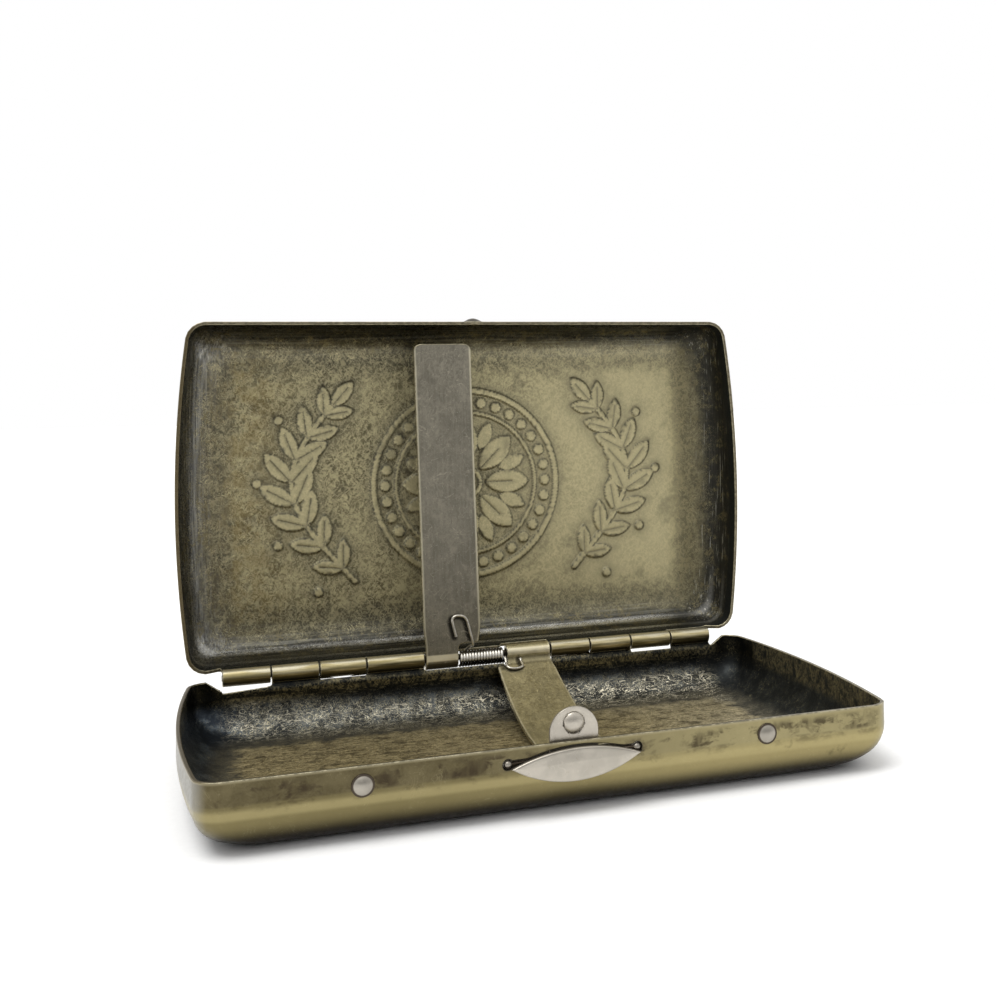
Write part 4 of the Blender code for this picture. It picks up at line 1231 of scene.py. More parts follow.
def lid_inside(coat):
    """Olive fibre grain on the floor with painted light making it lighter toward the right, blue black round edges with
    straight scratches and two painted reflection lines on the hinge side, pale relief.
    """
    zone, margin, relief, halo = (coat.stored(name) for name in ("zone", "margin", "relief", "halo"))
    place = coat.place()
    x, z = coat.axes("XZ")
    grain = coat.fibres()
    clouds = coat.noise(place, 0.14, 4.0, 0.62)
    patches = coat.noise(place, 0.42, 4.0, 0.7)
    sooty = (0.052, 0.051, 0.044)
    border = (margin + (patches - 0.5) * 8.0).ramp(10.6, 6.2, 0.0, 0.60)
    dark = coat.most(border * grain.ramp(0.0, 1.0, 1.0, 0.55), clouds.ramp(0.44, 0.30) * 0.36, halo * 0.90)
    floor = layered(
        grain.mix(tone("patina", 0.74), tone("brass", 1.34)),
        (clouds.ramp(0.42, 0.60) * 0.30, tone("brass", 1.30)),
        # Painted light: the floor lighter toward the right.
        (x.ramp(-12.0, 30.0) * 0.62, tone("brass", 1.92)),
        (x.ramp(-26.0, -38.0) * patches.ramp(0.36, 0.62) * 0.55, (0.235, 0.175, 0.070)),
        (relief.ramp(0.45, 0.85) * 0.85, (grain * 0.5).mix(tone("brass", 1.32), tone("brass", 1.72))),
        (dark, tone(sooty, 1.2)))

    upright = coat.noise(coat.place((3.2, 3.2, 0.10)), 1.0, 3.0, 0.62)
    level = coat.noise(coat.place((0.07, 2.4, 2.4)), 1.0, 3.0, 0.6)
    ends = abs(x).ramp(38.0, 42.0)
    streak = upright * ends + level * (1.0 - ends)
    fillet = layered(
        streak.ramp(0.42, 0.66).mix(tone(sooty, 0.95), tone(sooty, 2.7)),
        (x.ramp(-36.0, -43.0), streak.ramp(0.38, 0.62).mix((0.085, 0.084, 0.078), (0.215, 0.213, 0.200))),
        (x.ramp(35.0, 42.0, 0.0, 0.72), tone(sooty, 0.7)),
        (patches.ramp(0.50, 0.62) * grain, tone("patina", 0.9)),
        (upright.ramp(0.63, 0.66) * ends * 0.7, (0.42, 0.41, 0.36)),
        (zone.ramp(1.0, 1.25), tone("soot", 0.7)))

    # Painted reflection: two pale lines along the hinge-side round edge.
    track = zone + (coat.noise(place, 0.12, 2.0) - 0.5) * 0.06
    painted_reflection_side = z.ramp(22.0, 16.0) * x.ramp(-30.0, 4.0, 0.25, 1.0) * level.ramp(0.3, 0.5, 0.5, 1.0)
    lines = coat.most(track.band(0.575, 0.60, 0.07) * 0.95, track.band(0.86, 0.90, 0.05)) * (
        painted_reflection_side * x.ramp(40.0, 34.0, 0.15, 1.0))
    curls = coat.most(*(coat.hairs(*values) for values in (
        (0.42, 0.010, 3.0, 1.8), (0.8, 0.014, 17.0, 1.6), (1.3, 0.018, 29.0, 1.4))))
    curls = curls * coat.noise(place, 0.5, 3.0).ramp(0.38, 0.60) * (
        zone.ramp(0.85, 0.3) * x.ramp(0.0, 30.0, 1.0, 0.55))
    colour = layered(
        floor,
        ((zone + patches * 0.4).ramp(0.30, 0.72), fillet),
        (curls * 0.55, tone("brass", 2.1)),
        # The painted reflection lines.
        (lines, (0.80, 0.79, 0.75)))
    roughness = zone.ramp(0.1, 0.6, 0.44, 0.24) + grain * 0.1 + x.ramp(37.0, 42.0, 0.0, 0.25) - lines * 0.05
    coat.finish(colour, roughness, grain * 0.55 + curls * 0.8, 0.42, 0.03)


def tray_inside(coat):
    """Brown brushed floor, blue black walls, bright speckled wear along the back round edge, and painted shade in the
    creases under the knuckles and up the back corners.
    """
    zone, margin, crease = (coat.stored(name) for name in ("zone", "margin", "crease"))
    x, y = coat.axes("XY")
    grain = coat.fibres(1.15)
    patches = coat.noise(coat.place(), 0.4, 4.0, 0.68)
    brushed = coat.noise(coat.place((0.42, 3.0, 3.0)), 1.0, 4.0, 0.72, 0.6)
    short = coat.most(coat.strands((0.42, 1.0, 1.0), (0.0, 0.0, 0.12), 1.5, 7.0, 0.09),
                      coat.strands((0.5, 1.0, 1.0), (0.0, 0.0, -0.35), 1.9, 23.0, 0.08))
    share = brushed.ramp(0.38, 0.62) * 0.45 + short * 0.55
    floor = layered(
        share.mix((0.120, 0.090, 0.040), (0.660, 0.560, 0.325)),
        (x.ramp(12.0, 30.0, 0.0, 0.6), share.mix((0.26, 0.220, 0.130), (0.92, 0.82, 0.57))),
        (patches.ramp(0.5, 0.36) * 0.55, (0.055, 0.043, 0.022)),
        ((margin + (patches - 0.5) * 6.0).ramp(9.5, 6.6, 0.0, 0.75), tone("soot", 1.1)))
    wall = patches.ramp(0.34, 0.50).mix(tone("soot", 0.55), grain.mix(tone("soot", 0.62), tone("patina", 1.15)))
    navy = patches.ramp(0.42, 0.66).mix((0.024, 0.030, 0.038), (0.085, 0.104, 0.122))
    fillet = layered(
        patches.ramp(0.40, 0.62).mix(tone("soot", 0.6), tone("soot", 1.7)),
        (x.ramp(36.0, 42.0, 0.0, 0.7), tone("soot", 0.5)),
        (x.ramp(-36.0, -42.0, 0.0, 0.8), navy))

    back = y.ramp(14.0, 19.0)
    middle = abs(x).ramp(43.0, 39.0) * back
    low_zone = zone - x.ramp(-12.0, -40.0, 0.0, 0.26)
    streak = low_zone.band(0.84, 0.99, 0.08) * brushed.ramp(0.36, 0.50)
    specks = coat.noise(coat.place((1.5, 1.3, 1.3)), 1.35, 4.0, 0.80, 2.2)
    where = (low_zone + patches * 0.6).band(0.50, 0.98, 0.22) * patches.ramp(0.36, 0.56, 0.35, 1.0)
    dense = specks.ramp(0.50, 0.60) * (where * middle)
    waves = coat.most(coat.hairs(0.40, 0.016, 5.0, 2.2, (0.42, 1.0, 1.0)),
                      coat.hairs(0.75, 0.020, 41.0, 2.0, (0.5, 1.0, 1.0)))
    waves = waves * (low_zone.band(0.10, 0.62, 0.16) * middle) * x.ramp(-20.0, 20.0, 0.35, 1.0)
    curls = coat.hairs(0.9, 0.016, 13.0, 1.6) * patches.ramp(0.45, 0.6) * low_zone.ramp(1.2, 0.4, 0.35, 0.7)
    colour = layered(
        floor,
        (zone.ramp(0.14, 0.42), fillet),
        (zone.ramp(0.86, 1.02), wall),
        # Painted shade in the creases under the knuckles and up the back corners.
        (crease * 0.92, tone("soot", 0.16)),
        (streak * back * 0.85, tone("soot", 0.3)),
        (dense * 0.8, (0.36, 0.32, 0.21)),
        (waves, (0.95, 0.87, 0.66)),
        (curls * 0.6, tone("brass", 1.3)))
    roughness = low_zone.ramp(0.1, 0.5, 0.46, 0.26) + grain * 0.12 + x.ramp(37.0, 42.0, 0.0, 0.25)
    coat.finish(colour, roughness, grain * 0.5 + (brushed + coat.most(dense, waves)), 0.4, 0.03)


def outside_patina(coat):
    """Rubbed olive gold with brown smudges in a band under the rim, lighter toward the right as painted light, painted
    reflections along the lower round edge and at the ends, and painted shade toward the underside and on the catch
    bump.
    """
    place = coat.place()
    mottle = coat.noise(place, 0.22, 4.0, 0.62)
    zone = coat.stored("zone")
    grain = coat.fibres(0.8)
    x, z = coat.axes("XZ")
    base = layered(
        (grain * 0.5).mix((0.086, 0.070, 0.036), (0.135, 0.112, 0.060)),
        (mottle.ramp(0.38, 0.66, 0.0, 0.6), (0.165, 0.138, 0.074)),
        # Painted light: lighter toward the right.
        (x.ramp(-22.0, 30.0, 0.0, 0.88), (0.330, 0.285, 0.148)),
        # Painted reflection: a golden band on the round edge, lighter toward the right.
        (zone.band(0.55, 0.88, 0.22) * 0.75, x.ramp(-26.0, 28.0).mix((0.232, 0.194, 0.088), (0.330, 0.275, 0.126))),
        # Painted reflection: pale grey at both ends.
        (abs(x).ramp(45.1, 46.7) * 0.50, (0.34, 0.335, 0.305)),
        # Painted highlight: a golden line near the top of the round edge.
        (zone.band(0.86, 0.91, 0.07) * 0.40, (0.44, 0.375, 0.185)))

    off_ends = abs(x).ramp(45.5, 43.5)
    smudge = coat.noise(coat.place((0.26, 0.26, 0.40), shift=(4.0, 0.0, 0.0)), 1.0, 4.0, 0.60, 0.3)
    strokes = coat.noise(coat.place((0.75, 0.75, 0.26)), 1.0, 2.0, 0.5)
    smudge = smudge.ramp(0.47, 0.58) * (zone.ramp(0.98, 1.15) * zone.ramp(1.92, 1.60) * off_ends)
    smudge = smudge * strokes.ramp(0.36, 0.60, 0.45, 1.0)
    broken = coat.noise(coat.place((0.30, 0.30, 0.6), shift=(0.0, 3.0, 0.0)), 1.0, 3.0, 0.65)
    seam = (zone + mottle * 0.16).band(1.06, 1.11, 0.11) * broken.ramp(0.48, 0.66) * off_ends
    dark = coat.most(smudge * 0.80, mottle.ramp(0.40, 0.28, 0.0, 0.4), seam * 0.42)
    bump_spot = coat.add("VectorMath", {0: place, 1: BUMP_SPOT}, "Value", operation="DISTANCE")
    hair = coat.hairs(0.5, 0.012, 31.0, 1.4) * mottle.ramp(0.45, 0.6)
    colour = layered(
        base,
        (dark, (0.040, 0.029, 0.019)),
        (zone.ramp(1.86, 1.95) * 0.5, (0.36, 0.315, 0.200)),
        # Painted shade: darker down the round edge toward the underside.
        (zone.ramp(0.78, 0.34) * z.ramp(9.0, 7.0) * 0.95, (0.022, 0.016, 0.008)),
        # Painted shade on the catch bump.
        (bump_spot.ramp(3.6, 2.2, 0.0, 0.9), (0.05, 0.042, 0.028)),
        (hair * 0.10, tone("brass", 1.6)))
    coat.finish(colour, 0.30 + grain * 0.12, grain, 0.16, 0.02)


def knuckle_brass(coat):
    """Streaked brass with a painted highlight along the top, painted shade underneath, and darker on the side toward
    the back.
    """
    streak = coat.noise(coat.place((0.14, 3.0, 3.0)), 1.0, 3.0, 0.6)
    wander = coat.noise(coat.place((0.13, 0.3, 0.3), shift=(9.0, 0.0, 0.0)), 1.0, 1.0, 0.5)
    x, y, z = coat.axes("XYZ")
    high = z + (streak - 0.5) * 0.45 + (wander - 0.5) * 1.5
    behind = y - x.ramp(-20.0, 12.0, 29.3, 28.35)
    colour = layered(
        streak.ramp(0.38, 0.64).mix((0.40, 0.335, 0.165), (0.69, 0.60, 0.365)),
        # Painted highlight along the top.
        (high.ramp(10.45, 10.75), (0.60, 0.55, 0.40)),
        (coat.fibres(1.3).ramp(0.3, 0.0) * 0.10, tone("soot", 1.8)),
        # Painted shade underneath.
        (high.ramp(9.95, 9.45, 0.0, 0.86), (0.050, 0.041, 0.021)),
        (behind.ramp(0.0, 0.3, 0.0, 0.85), (0.085, 0.078, 0.058)))
    coat.finish(colour, 0.36, streak, 0.12, 0.02)


def arm_brass(coat, plain, along, painted_curl_highlight, shadow):
    """Plain matte arm: fine even grain, faint streaks along it, scratches both ways, edges lighter from wear and
    painted highlight, a painted shadow beside the hook wire, a painted highlight on the curl and painted shade under
    it.
    """
    grain = coat.fibres(1.2)
    clouds = coat.noise(coat.place(), 0.16, 3.0, 0.6)
    streak = coat.noise(coat.place(along), 1.0, 3.0, 0.6)
    blot = coat.noise(coat.place((0.5, 0.35, 0.35)), 1.0, 4.0, 0.7)
    lines = coat.most(coat.scratches((0.0, 0.9, 0.5), 0.34, 2.0), coat.scratches((0.0, -0.5, -0.6), 0.33, 8.0))
    lines = coat.most(lines * 0.55, coat.hairs(0.35, 0.008, 11.0, 1.2) * 0.45)
    edges = coat.most(coat.stored("near_edge").ramp(0.50, 0.22), coat.stored("far_edge").ramp(0.45, 0.20) * 0.8)
    y, z = coat.axes("YZ")
    colour = layered(
        (grain * 0.7).mix(tone(plain, 0.80), tone(plain, 1.18)),
        (clouds.ramp(0.42, 0.66, 0.0, 0.62), tone(plain, 0.62)),
        (blot.ramp(0.52, 0.70, 0.0, 0.5), tone(plain, 1.35)),
        (streak.ramp(0.42, 0.7, 0.0, 0.28), tone(plain, 1.30)),
        # Painted shadow beside the hook wire.
        (coat.stored("grime") * 0.92, (0.012, 0.011, 0.009)),
        # Edges lighter: partly wear, partly painted highlight.
        (edges * 0.62, (0.78, 0.72, 0.53)),
        (lines, tone(plain, 2.0)),
        # Painted highlight on the curl.
        (z.band(9.7, 10.5, 0.25) * painted_curl_highlight, (0.98, 0.90, 0.68)),
        # Painted shade under the curl.
        (z.ramp(9.4, 9.1) * y.ramp(26.2, 26.8) * shadow, (0.06, 0.05, 0.03)))
    coat.finish(colour, 0.42 + grain * 0.14, grain + lines, 0.28, 0.022)


def plain_metal(coat, plain, roughness, grain_scale, contrast):
    """Fine grained bare or plated metal."""
    grain = coat.noise(coat.place(), grain_scale, 3.0, 0.6)
    clouds = coat.noise(coat.place(), 0.5, 2.0, 0.5)
    colour = layered(
        grain.ramp(0.35, 0.68).mix(tone(plain, 1 - contrast), tone(plain, 1 + contrast / 2)),
        (clouds.ramp(0.45, 0.7, 0.0, 0.35), tone(plain, 1 - contrast)))
    coat.finish(colour, roughness - 0.06 + grain * 0.12, grain, 0.12, 0.015)


def worn_edge(coat, plain, grain_scale):
    """Edges of the sheet: browner at the left end, darker round the clasp opening."""
    grain = coat.noise(coat.place(), grain_scale, 3.0, 0.6)
    x, y, z = coat.axes("XYZ")
    opening = z.ramp(9.35, 9.15) * abs(x).ramp(11.0, 10.0) * y.ramp(-27.0, -27.3)
    colour = layered(
        grain.ramp(0.35, 0.68).mix(tone(plain, 0.55), tone(plain, 1.22)),
        (x.ramp(-44.3, -46.3, 0.0, 0.8), (0.120, 0.092, 0.045)),
        (opening * 0.85, (0.050, 0.040, 0.025)))
    coat.finish(colour, 0.41, grain, 0.12, 0.015)


def coil_steel(coat):
    """Bright drawn wire with painted shade under it, and darker along its top."""
    z, = coat.axes("Z")
    # Painted shade under the coil.
    colour = z.ramp(9.5, 9.1).mix((0.80, 0.77, 0.70), (0.020, 0.018, 0.015))
    colour = z.ramp(10.25, 10.55).mix(colour, (0.10, 0.09, 0.075))
    coat.finish(colour, 0.38, coat.noise(coat.place(), 2.5, 2.0, 0.5), 0.1, 0.01)


def satin_nickel(coat, strength, darkened=None):
    """Smooth warm plating with faint wear lines and small brown stains."""
    place = coat.place()
    plain = tone("nickel", strength)
    fine = coat.noise(place, 3.0, 2.0, 0.5)
    colour = layered(
        coat.noise(place, 0.35, 3.0, 0.5).ramp(0.35, 0.65).mix(tone(plain, 0.90), tone(plain, 1.06)),
        (coat.noise(place, 0.8, 4.0, 0.7, 0.8).ramp(0.62, 0.74) * 0.5, (0.33, 0.28, 0.21)),
        (coat.hairs(0.4, 0.006, 7.0, 0.8) * 0.25, tone(plain, 1.4)))
    # Darker where the given mask says: painted shade on the pivot pin, a dark ring round each rivet.
    if darkened:
        colour = darkened(coat).mix(colour, (0.075, 0.060, 0.045))
    coat.finish(colour, 0.36 + fine * 0.10, fine, 0.06, 0.01)


def rivet_dark_ring(coat):
    """The dark ring round a rivet's dome."""
    return coat.stored("ring")


def pivot_painted_shade(coat):
    """Painted shade on the clasp's pin: along its rod and under its balls."""
    x, z = coat.axes("XZ")
    return coat.most(abs(x - SLOT_SHIFT).ramp(8.35, 8.2), (z - x * CLASP_SKEW).ramp(7.66, 7.5))


RECIPES = {
    "outside_patina": (outside_patina,),
    "lid_inside_patina": (lid_inside,),
    "tray_inside_patina": (tray_inside,),
    "knuckle_brass": (knuckle_brass,),
    "sheet_edge": (worn_edge, (0.235, 0.205, 0.140), 2.2),
    "rubbed_edge": (worn_edge, (0.42, 0.38, 0.26), 1.6),
    "lid_arm_brass": (arm_brass, (0.256, 0.236, 0.186), (2.2, 2.2, 0.08), 0.95, 0.85),
    "tray_arm_brass": (arm_brass, (0.425, 0.372, 0.218), (2.2, 0.08, 2.2), 0.62, 0.4),
    "arm_edge": (plain_metal, (0.46, 0.41, 0.27), 0.34, 2.0, 0.4),
    "spring_steel": (plain_metal, (0.62, 0.585, 0.51), 0.36, 2.5, 0.2),
    "coil_steel": (coil_steel,),
    "satin_nickel": (satin_nickel, 0.90),
    "rivet_nickel": (satin_nickel, 0.74, rivet_dark_ring),
    "pivot_nickel": (satin_nickel, 0.62, pivot_painted_shade),
    "pin_steel": (plain_metal, (0.06, 0.052, 0.040), 0.40, 2.5, 0.35),
}


METALS = {}


def metal(name):
    """The named metal, made on first use."""
    if name not in METALS:
        METALS[name] = bpy.data.materials.new(name)
        maker, *values = RECIPES[name]
        maker(Shader(METALS[name]), *values)
    return METALS[name]


def floor_material():
    """White paper that takes the case's shadow."""
    material = bpy.data.materials.new("white_paper")
    shader = Shader(material)
    pale = shader.noise(shader.place(), 1.2, 2.0, 0.5).ramp(0.3, 0.7, 0.955, 0.975)
    paper = shader.add("BsdfDiffuse", {"Color": shader.add("CombineColor", {0: pale, 1: pale, 2: pale})})
    shader.tree.nodes.remove(shader.tree.nodes["Principled BSDF"])
    shader.feed(shader.tree.nodes["Material Output"].inputs["Surface"], paper)
    return material


def studio_world():
    """White surroundings: metal sees a dimmer room in front, and little light comes in level with the floor."""
    world = bpy.data.worlds.new("studio")
    shader = Shader(world)
    shader.tree.nodes.clear()
    way = shader.add("TexCoord", output="Generated")
    y, z = (shader.add("SeparateXYZ", {0: way}, name) for name in "YZ")
    room = shader.add("Math", {0: z, 1: 1.35, 2: y}, operation="MULTIPLY_ADD").ramp(-0.95, 0.35, 0.14, 1.0)
    plain = shader.most(z.ramp(0.0, 0.45), shader.add("LightPath", output="Is Camera Ray"))
    shown = shader.add("Mix", {0: shader.add("LightPath", output="Is Glossy Ray"), 2: plain, 3: room},
                       data_type="FLOAT")
    light = shader.add("Background", {"Color": (1.0, 1.0, 1.0), "Strength": shown})
    shader.feed(shader.tree.nodes.new("ShaderNodeOutputWorld").inputs[0], light)
    return world


# Round parts

def turned_piece(name, profile, steps, materials):
    """Solid turned about the Y direction from (depth, radius), with its ends on the axis."""
    points, faces, loops = [], [], []
    for depth, radius in profile:
        if radius == 0.0:
            loops.append([len(points)])
            points.append((0.0, depth, 0.0))
            continue
        loops.append(list(range(len(points), len(points) + steps)))
        for index in range(steps):
            angle = 2 * math.pi * index / steps
            points.append((radius * math.cos(angle), depth, radius * math.sin(angle)))
    for first, second in zip(loops, loops[1:]):
        for index in range(steps):
            after = (index + 1) % steps
            if len(first) == 1:
                faces.append((first[0], second[after], second[index]))
            elif len(second) == 1:
                faces.append((first[index], first[after], second[0]))
            else:
                faces.append((first[index], first[after], second[after], second[index]))
    piece = new_object(name, points, faces, materials)
    merge_and_orient(piece, 0.0005)
    return piece


def dome(base, radius, height, steps=10):
    """Profile of a cap that rises to the front from its base."""
    ball = (radius ** 2 + height ** 2) / (2 * height)
    spread = math.asin(min(1.0, radius / ball))
    angles = [spread * (1 - index / steps) for index in range(steps)]
    result = [(base - height + ball - ball * math.cos(angle), ball * math.sin(angle)) for angle in angles]
    return result + [(base - height, 0.0)]


def offset_inward(outline, distance):
    """Outline moved inward by a distance, square to its edges."""
    points = np.array(outline)
    ahead = np.roll(points, -1, axis=0) - points
    behind = points - np.roll(points, 1, axis=0)
    ahead /= np.linalg.norm(ahead, axis=1)[:, None]
    behind /= np.linalg.norm(behind, axis=1)[:, None]
    tangent = ahead + behind
    tangent /= np.linalg.norm(tangent, axis=1)[:, None]
    return points + np.stack([-tangent[:, 1], tangent[:, 0]], axis=1) * distance


# Operators

def pressed_half(name, inside_metal, sheet, place, back, outward):
    """One half from its middle surface, worn round, with the points of its mesh in tray coordinates."""
    metals = [metal(label) for label in (
        "outside_patina", inside_metal, "sheet_edge", "rubbed_edge", "knuckle_brass", "knuckle_brass", "sheet_edge")]
    piece = new_object(name, place(sheet.points), sheet.faces, metals, sheet.slots)
    merge_and_orient(piece)
    face_outward(piece, outward)
    thicken(piece, SHEET, 1, 2)
    baked(piece)
    round_rims(piece, settings("case_shell").edge_round, 3, back(points_of(piece.data))[:, 2])
    keep_inside(piece)
    local = back(points_of(piece.data))
    store(piece.data, "zone", zone_of(local))
    store(piece.data, "margin", margin_of(local))
    return piece, local


class CASE_OT_tray_shell(bpy.types.Operator):
    """Tray with its notched back wall, rolled knuckles and clasp opening"""
    bl_idname = "case.tray_shell"
    bl_label = "Build tray shell"

    def execute(self, context):
        sheet = half_sheet(TRAY_TABS, settings("case_shell").tray_spacing / MM, (clasp_opening(),), CLASP_PANEL,
                           even_floor, lambda x, y: np.zeros(x.shape), None)
        piece, local = pressed_half("tray_body", "tray_inside_patina", sheet, lambda points: points,
                                    lambda points: points, Vector((0.0, 0.0, -1.0)))
        # Mask for the painted shade in the creases under the knuckles and up the back corners.
        near_tab = np.max([np.clip((np.minimum(local[:, 0] - low, high - local[:, 0]) + 0.3) / 0.4, 0, 1)
                           for low, high in TRAY_TABS], axis=0)
        end = np.clip((np.abs(local[:, 0]) - 40.5) / 2.5, 0, 1) * np.clip((local[:, 2] - 4.0) / 2.5, 0, 1)
        rise = np.clip((local[:, 2] - 7.75) / 0.35, 0, 1) * near_tab
        store(piece.data, "crease", np.where(local[:, 1] > 20, np.maximum(rise, end), 0.0))
        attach(piece, "tray")
        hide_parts("tray_shell")
        return {"FINISHED"}


class CASE_OT_lid_shell(bpy.types.Operator):
    """Lid with its pressed ornament, rolled knuckles and catch bump"""
    bl_idname = "case.lid_shell"
    bl_label = "Build lid shell"

    def execute(self, context):
        lift = settings("case_shell").relief_height / MM
        sheet = half_sheet(LID_TABS, settings("case_shell").lid_spacing / MM, (), BUMP_PANEL,
                           relief_floor, lambda x, y: ornament(x, -y)[0] * lift,
                           (BUMP_Z, BUMP_RADIUS, BUMP_RISE))
        piece, local = pressed_half("lid_body", "lid_inside_patina", sheet, lid_place, lid_back,
                                    Vector((0.0, math.sin(LID_OPENING), -math.cos(LID_OPENING))))
        height, nearest, inner = ornament(local[:, 0], -local[:, 1])
        on_floor = local[:, 2] < 2.0
        store(piece.data, "relief", np.where(on_floor, height, 0.0))
        outside = np.clip(nearest, 0, None)
        halo = np.exp(-outside / 0.34) * np.clip((nearest + 0.14) / 0.1, 0, 1)
        halo = np.maximum(halo, 0.55 * np.exp(-outside / 1.1) * (nearest > -0.05))
        halo = np.maximum(halo, 0.8 * np.exp(-inner / 0.16))
        store(piece.data, "halo", np.where(on_floor, halo, 0.0))
        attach(piece, "lid")
        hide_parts("lid_shell")
        return {"FINISHED"}


def clasp_opening():
    """Crescent above the button that runs into a slot with round ends for the pin's balls."""
    half, rise, radius = 9.0, 1.92, 0.68
    bend = (half ** 2 + rise ** 2) / (2 * rise)
    neck = math.asin(0.45 / radius)
    right, left = PIVOT_REACH + SLOT_SHIFT, -PIVOT_REACH + SLOT_SHIFT
    reach = radius * math.cos(neck)
    across = np.linspace(left + reach, right - reach, 26)[1:-1]
    outline = [(x, max(8.15, BUTTON_Z + rise - bend + math.sqrt(bend ** 2 - x ** 2))) for x in across]
    outline += arc((right, PIVOT_Z), radius, math.pi - neck, -math.pi / 6, 14)
    outline += [(half, 7.13), (3.7, 6.56 - 3.7 * CLASP_SKEW), (-3.7, 6.56 + 3.7 * CLASP_SKEW)]
    outline += arc((left, PIVOT_Z), radius, -math.pi / 3, neck - 2 * math.pi, 20)
    return [(x, z + CLASP_SKEW * x) for x, z in outline]


def face_outward(piece, outward):
    """Flips a middle surface whose floor faces the wrong way."""
    mesh = piece.data
    floor = [face for face in mesh.polygons if abs(face.normal.dot(outward)) > 0.98]
    if sum(face.area * face.normal.dot(outward) for face in floor) < 0:
        mesh.flip_normals()
        mesh.update()


class CASE_OT_holding_arms(bpy.types.Operator):
    """The two arms that hold the contents, rolled round the pin"""
    bl_idname = "case.holding_arms"
    bl_label = "Build holding arms"

    def execute(self, context):
        lid_arm = arm_piece("lid_holding_arm", LID_ARM, LID_ARM["length"], lid_arm_line, True,
                            [metal("lid_arm_brass"), metal("arm_edge")], lid_hook_route(), (-6.4, -0.8, 2.7, 8.0))
        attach(lid_arm, "lid_arm")
        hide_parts("lid_arm")
        tray_arm = arm_piece("tray_holding_arm", TRAY_ARM, tray_arm_length(), tray_arm_line, False,
                             [metal("tray_arm_brass"), metal("arm_edge")], tray_hook_route(), (3.9, 8.2, 0.4, 4.3))
        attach(tray_arm, "tray_arm")
        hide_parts("tray_arm")
        return {"FINISHED"}


class CASE_OT_arm_spring(bpy.types.Operator):
    """Coil between the arms, with a hook on each arm"""
    bl_idname = "case.arm_spring"
    bl_label = "Build arm spring"

    def execute(self, context):
        spring = settings("case_spring")
        _, _, _, left, right = spring_measures()
        steel = metal("spring_steel")
        tree = wire_tree()
        coil = coil_tree().run(path_object("spring_coil", [(0, 0, 0), (0, 0, 1)]), {
            "Turns": spring.turns,
            "Coil radius": spring.coil_radius,
            "Length": (right - left) * MM,
            "Wire radius": spring.wire_radius,
            "Start": Vector((left, HINGE_Y, HINGE_Z)) * MM - Vector((0.0, 0.0, spring.sag)),
            "Turn": (0.0, math.radians(90.0), 0.0),
            "Metal": metal("coil_steel"),
        })

        values = {"Wire radius": spring.wire_radius, "Sides": 10, "Metal": steel}
        lid_piece = tree.run(path_object("spring_lid_hook", lid_hook_route()), values)
        tray_piece = tree.run(path_object("spring_tray_hook", tray_hook_route()), values)
        for piece, body in ((coil, "tray"), (lid_piece, "lid_arm"), (tray_piece, "tray_arm")):
            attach(piece, body)
        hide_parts("arm_spring")
        return {"FINISHED"}


def clasp_button():
    """Pointed oval plate with a low crown."""
    crown = settings("case_clasp").crown / MM
    low, high = solid_box("clasp_button")
    half = (high[0] - low[0]) / 2
    upper = shallow_arc(half, high[2] - BUTTON_Z, 40)
    lower = shallow_arc(half, BUTTON_Z - low[2] + 0.5, 40)
    outline = [(x, z + CLASP_SKEW * x) for x, z in upper + [(-x, -z) for x, z in lower[1:-1]]]
    front, back = low[1], -HALF_WIDTH - 0.1
    rings = [(0.0, back), (0.0, front + crown + 0.16), (0.05, front + crown + 0.06),
             (0.14, front + crown), (0.32, front + crown - 0.03)]
    points, faces = [], []
    for inset, depth in rings:
        last = offset_inward(outline, inset)
        points += [(x, depth, z + BUTTON_Z) for x, z in last]
    for share in (0.8, 0.6, 0.4, 0.2):
        depth = front + (crown - 0.03) * (1 - (1 - share) ** 2) * share ** 0.5
        points += [(x * share, depth, z * share + BUTTON_Z) for x, z in last]
    count = len(outline)
    top = len(points) - count
    for start in range(0, top, count):
        for index in range(count):
            after = (index + 1) % count
            faces.append((start + index, start + after, start + count + after, start + count + index))
    points += [(0.0, front, BUTTON_Z), (0.0, back, BUTTON_Z)]
    for index in range(count):
        after = (index + 1) % count
        faces += [(top + index, top + after, len(points) - 2), (after, index, len(points) - 1)]
    button = new_object("clasp_button_face", points, faces, [metal("satin_nickel")])
    merge_and_orient(button, 0.0005)
    button.data.set_sharp_from_angle(angle=math.radians(60))
    return button


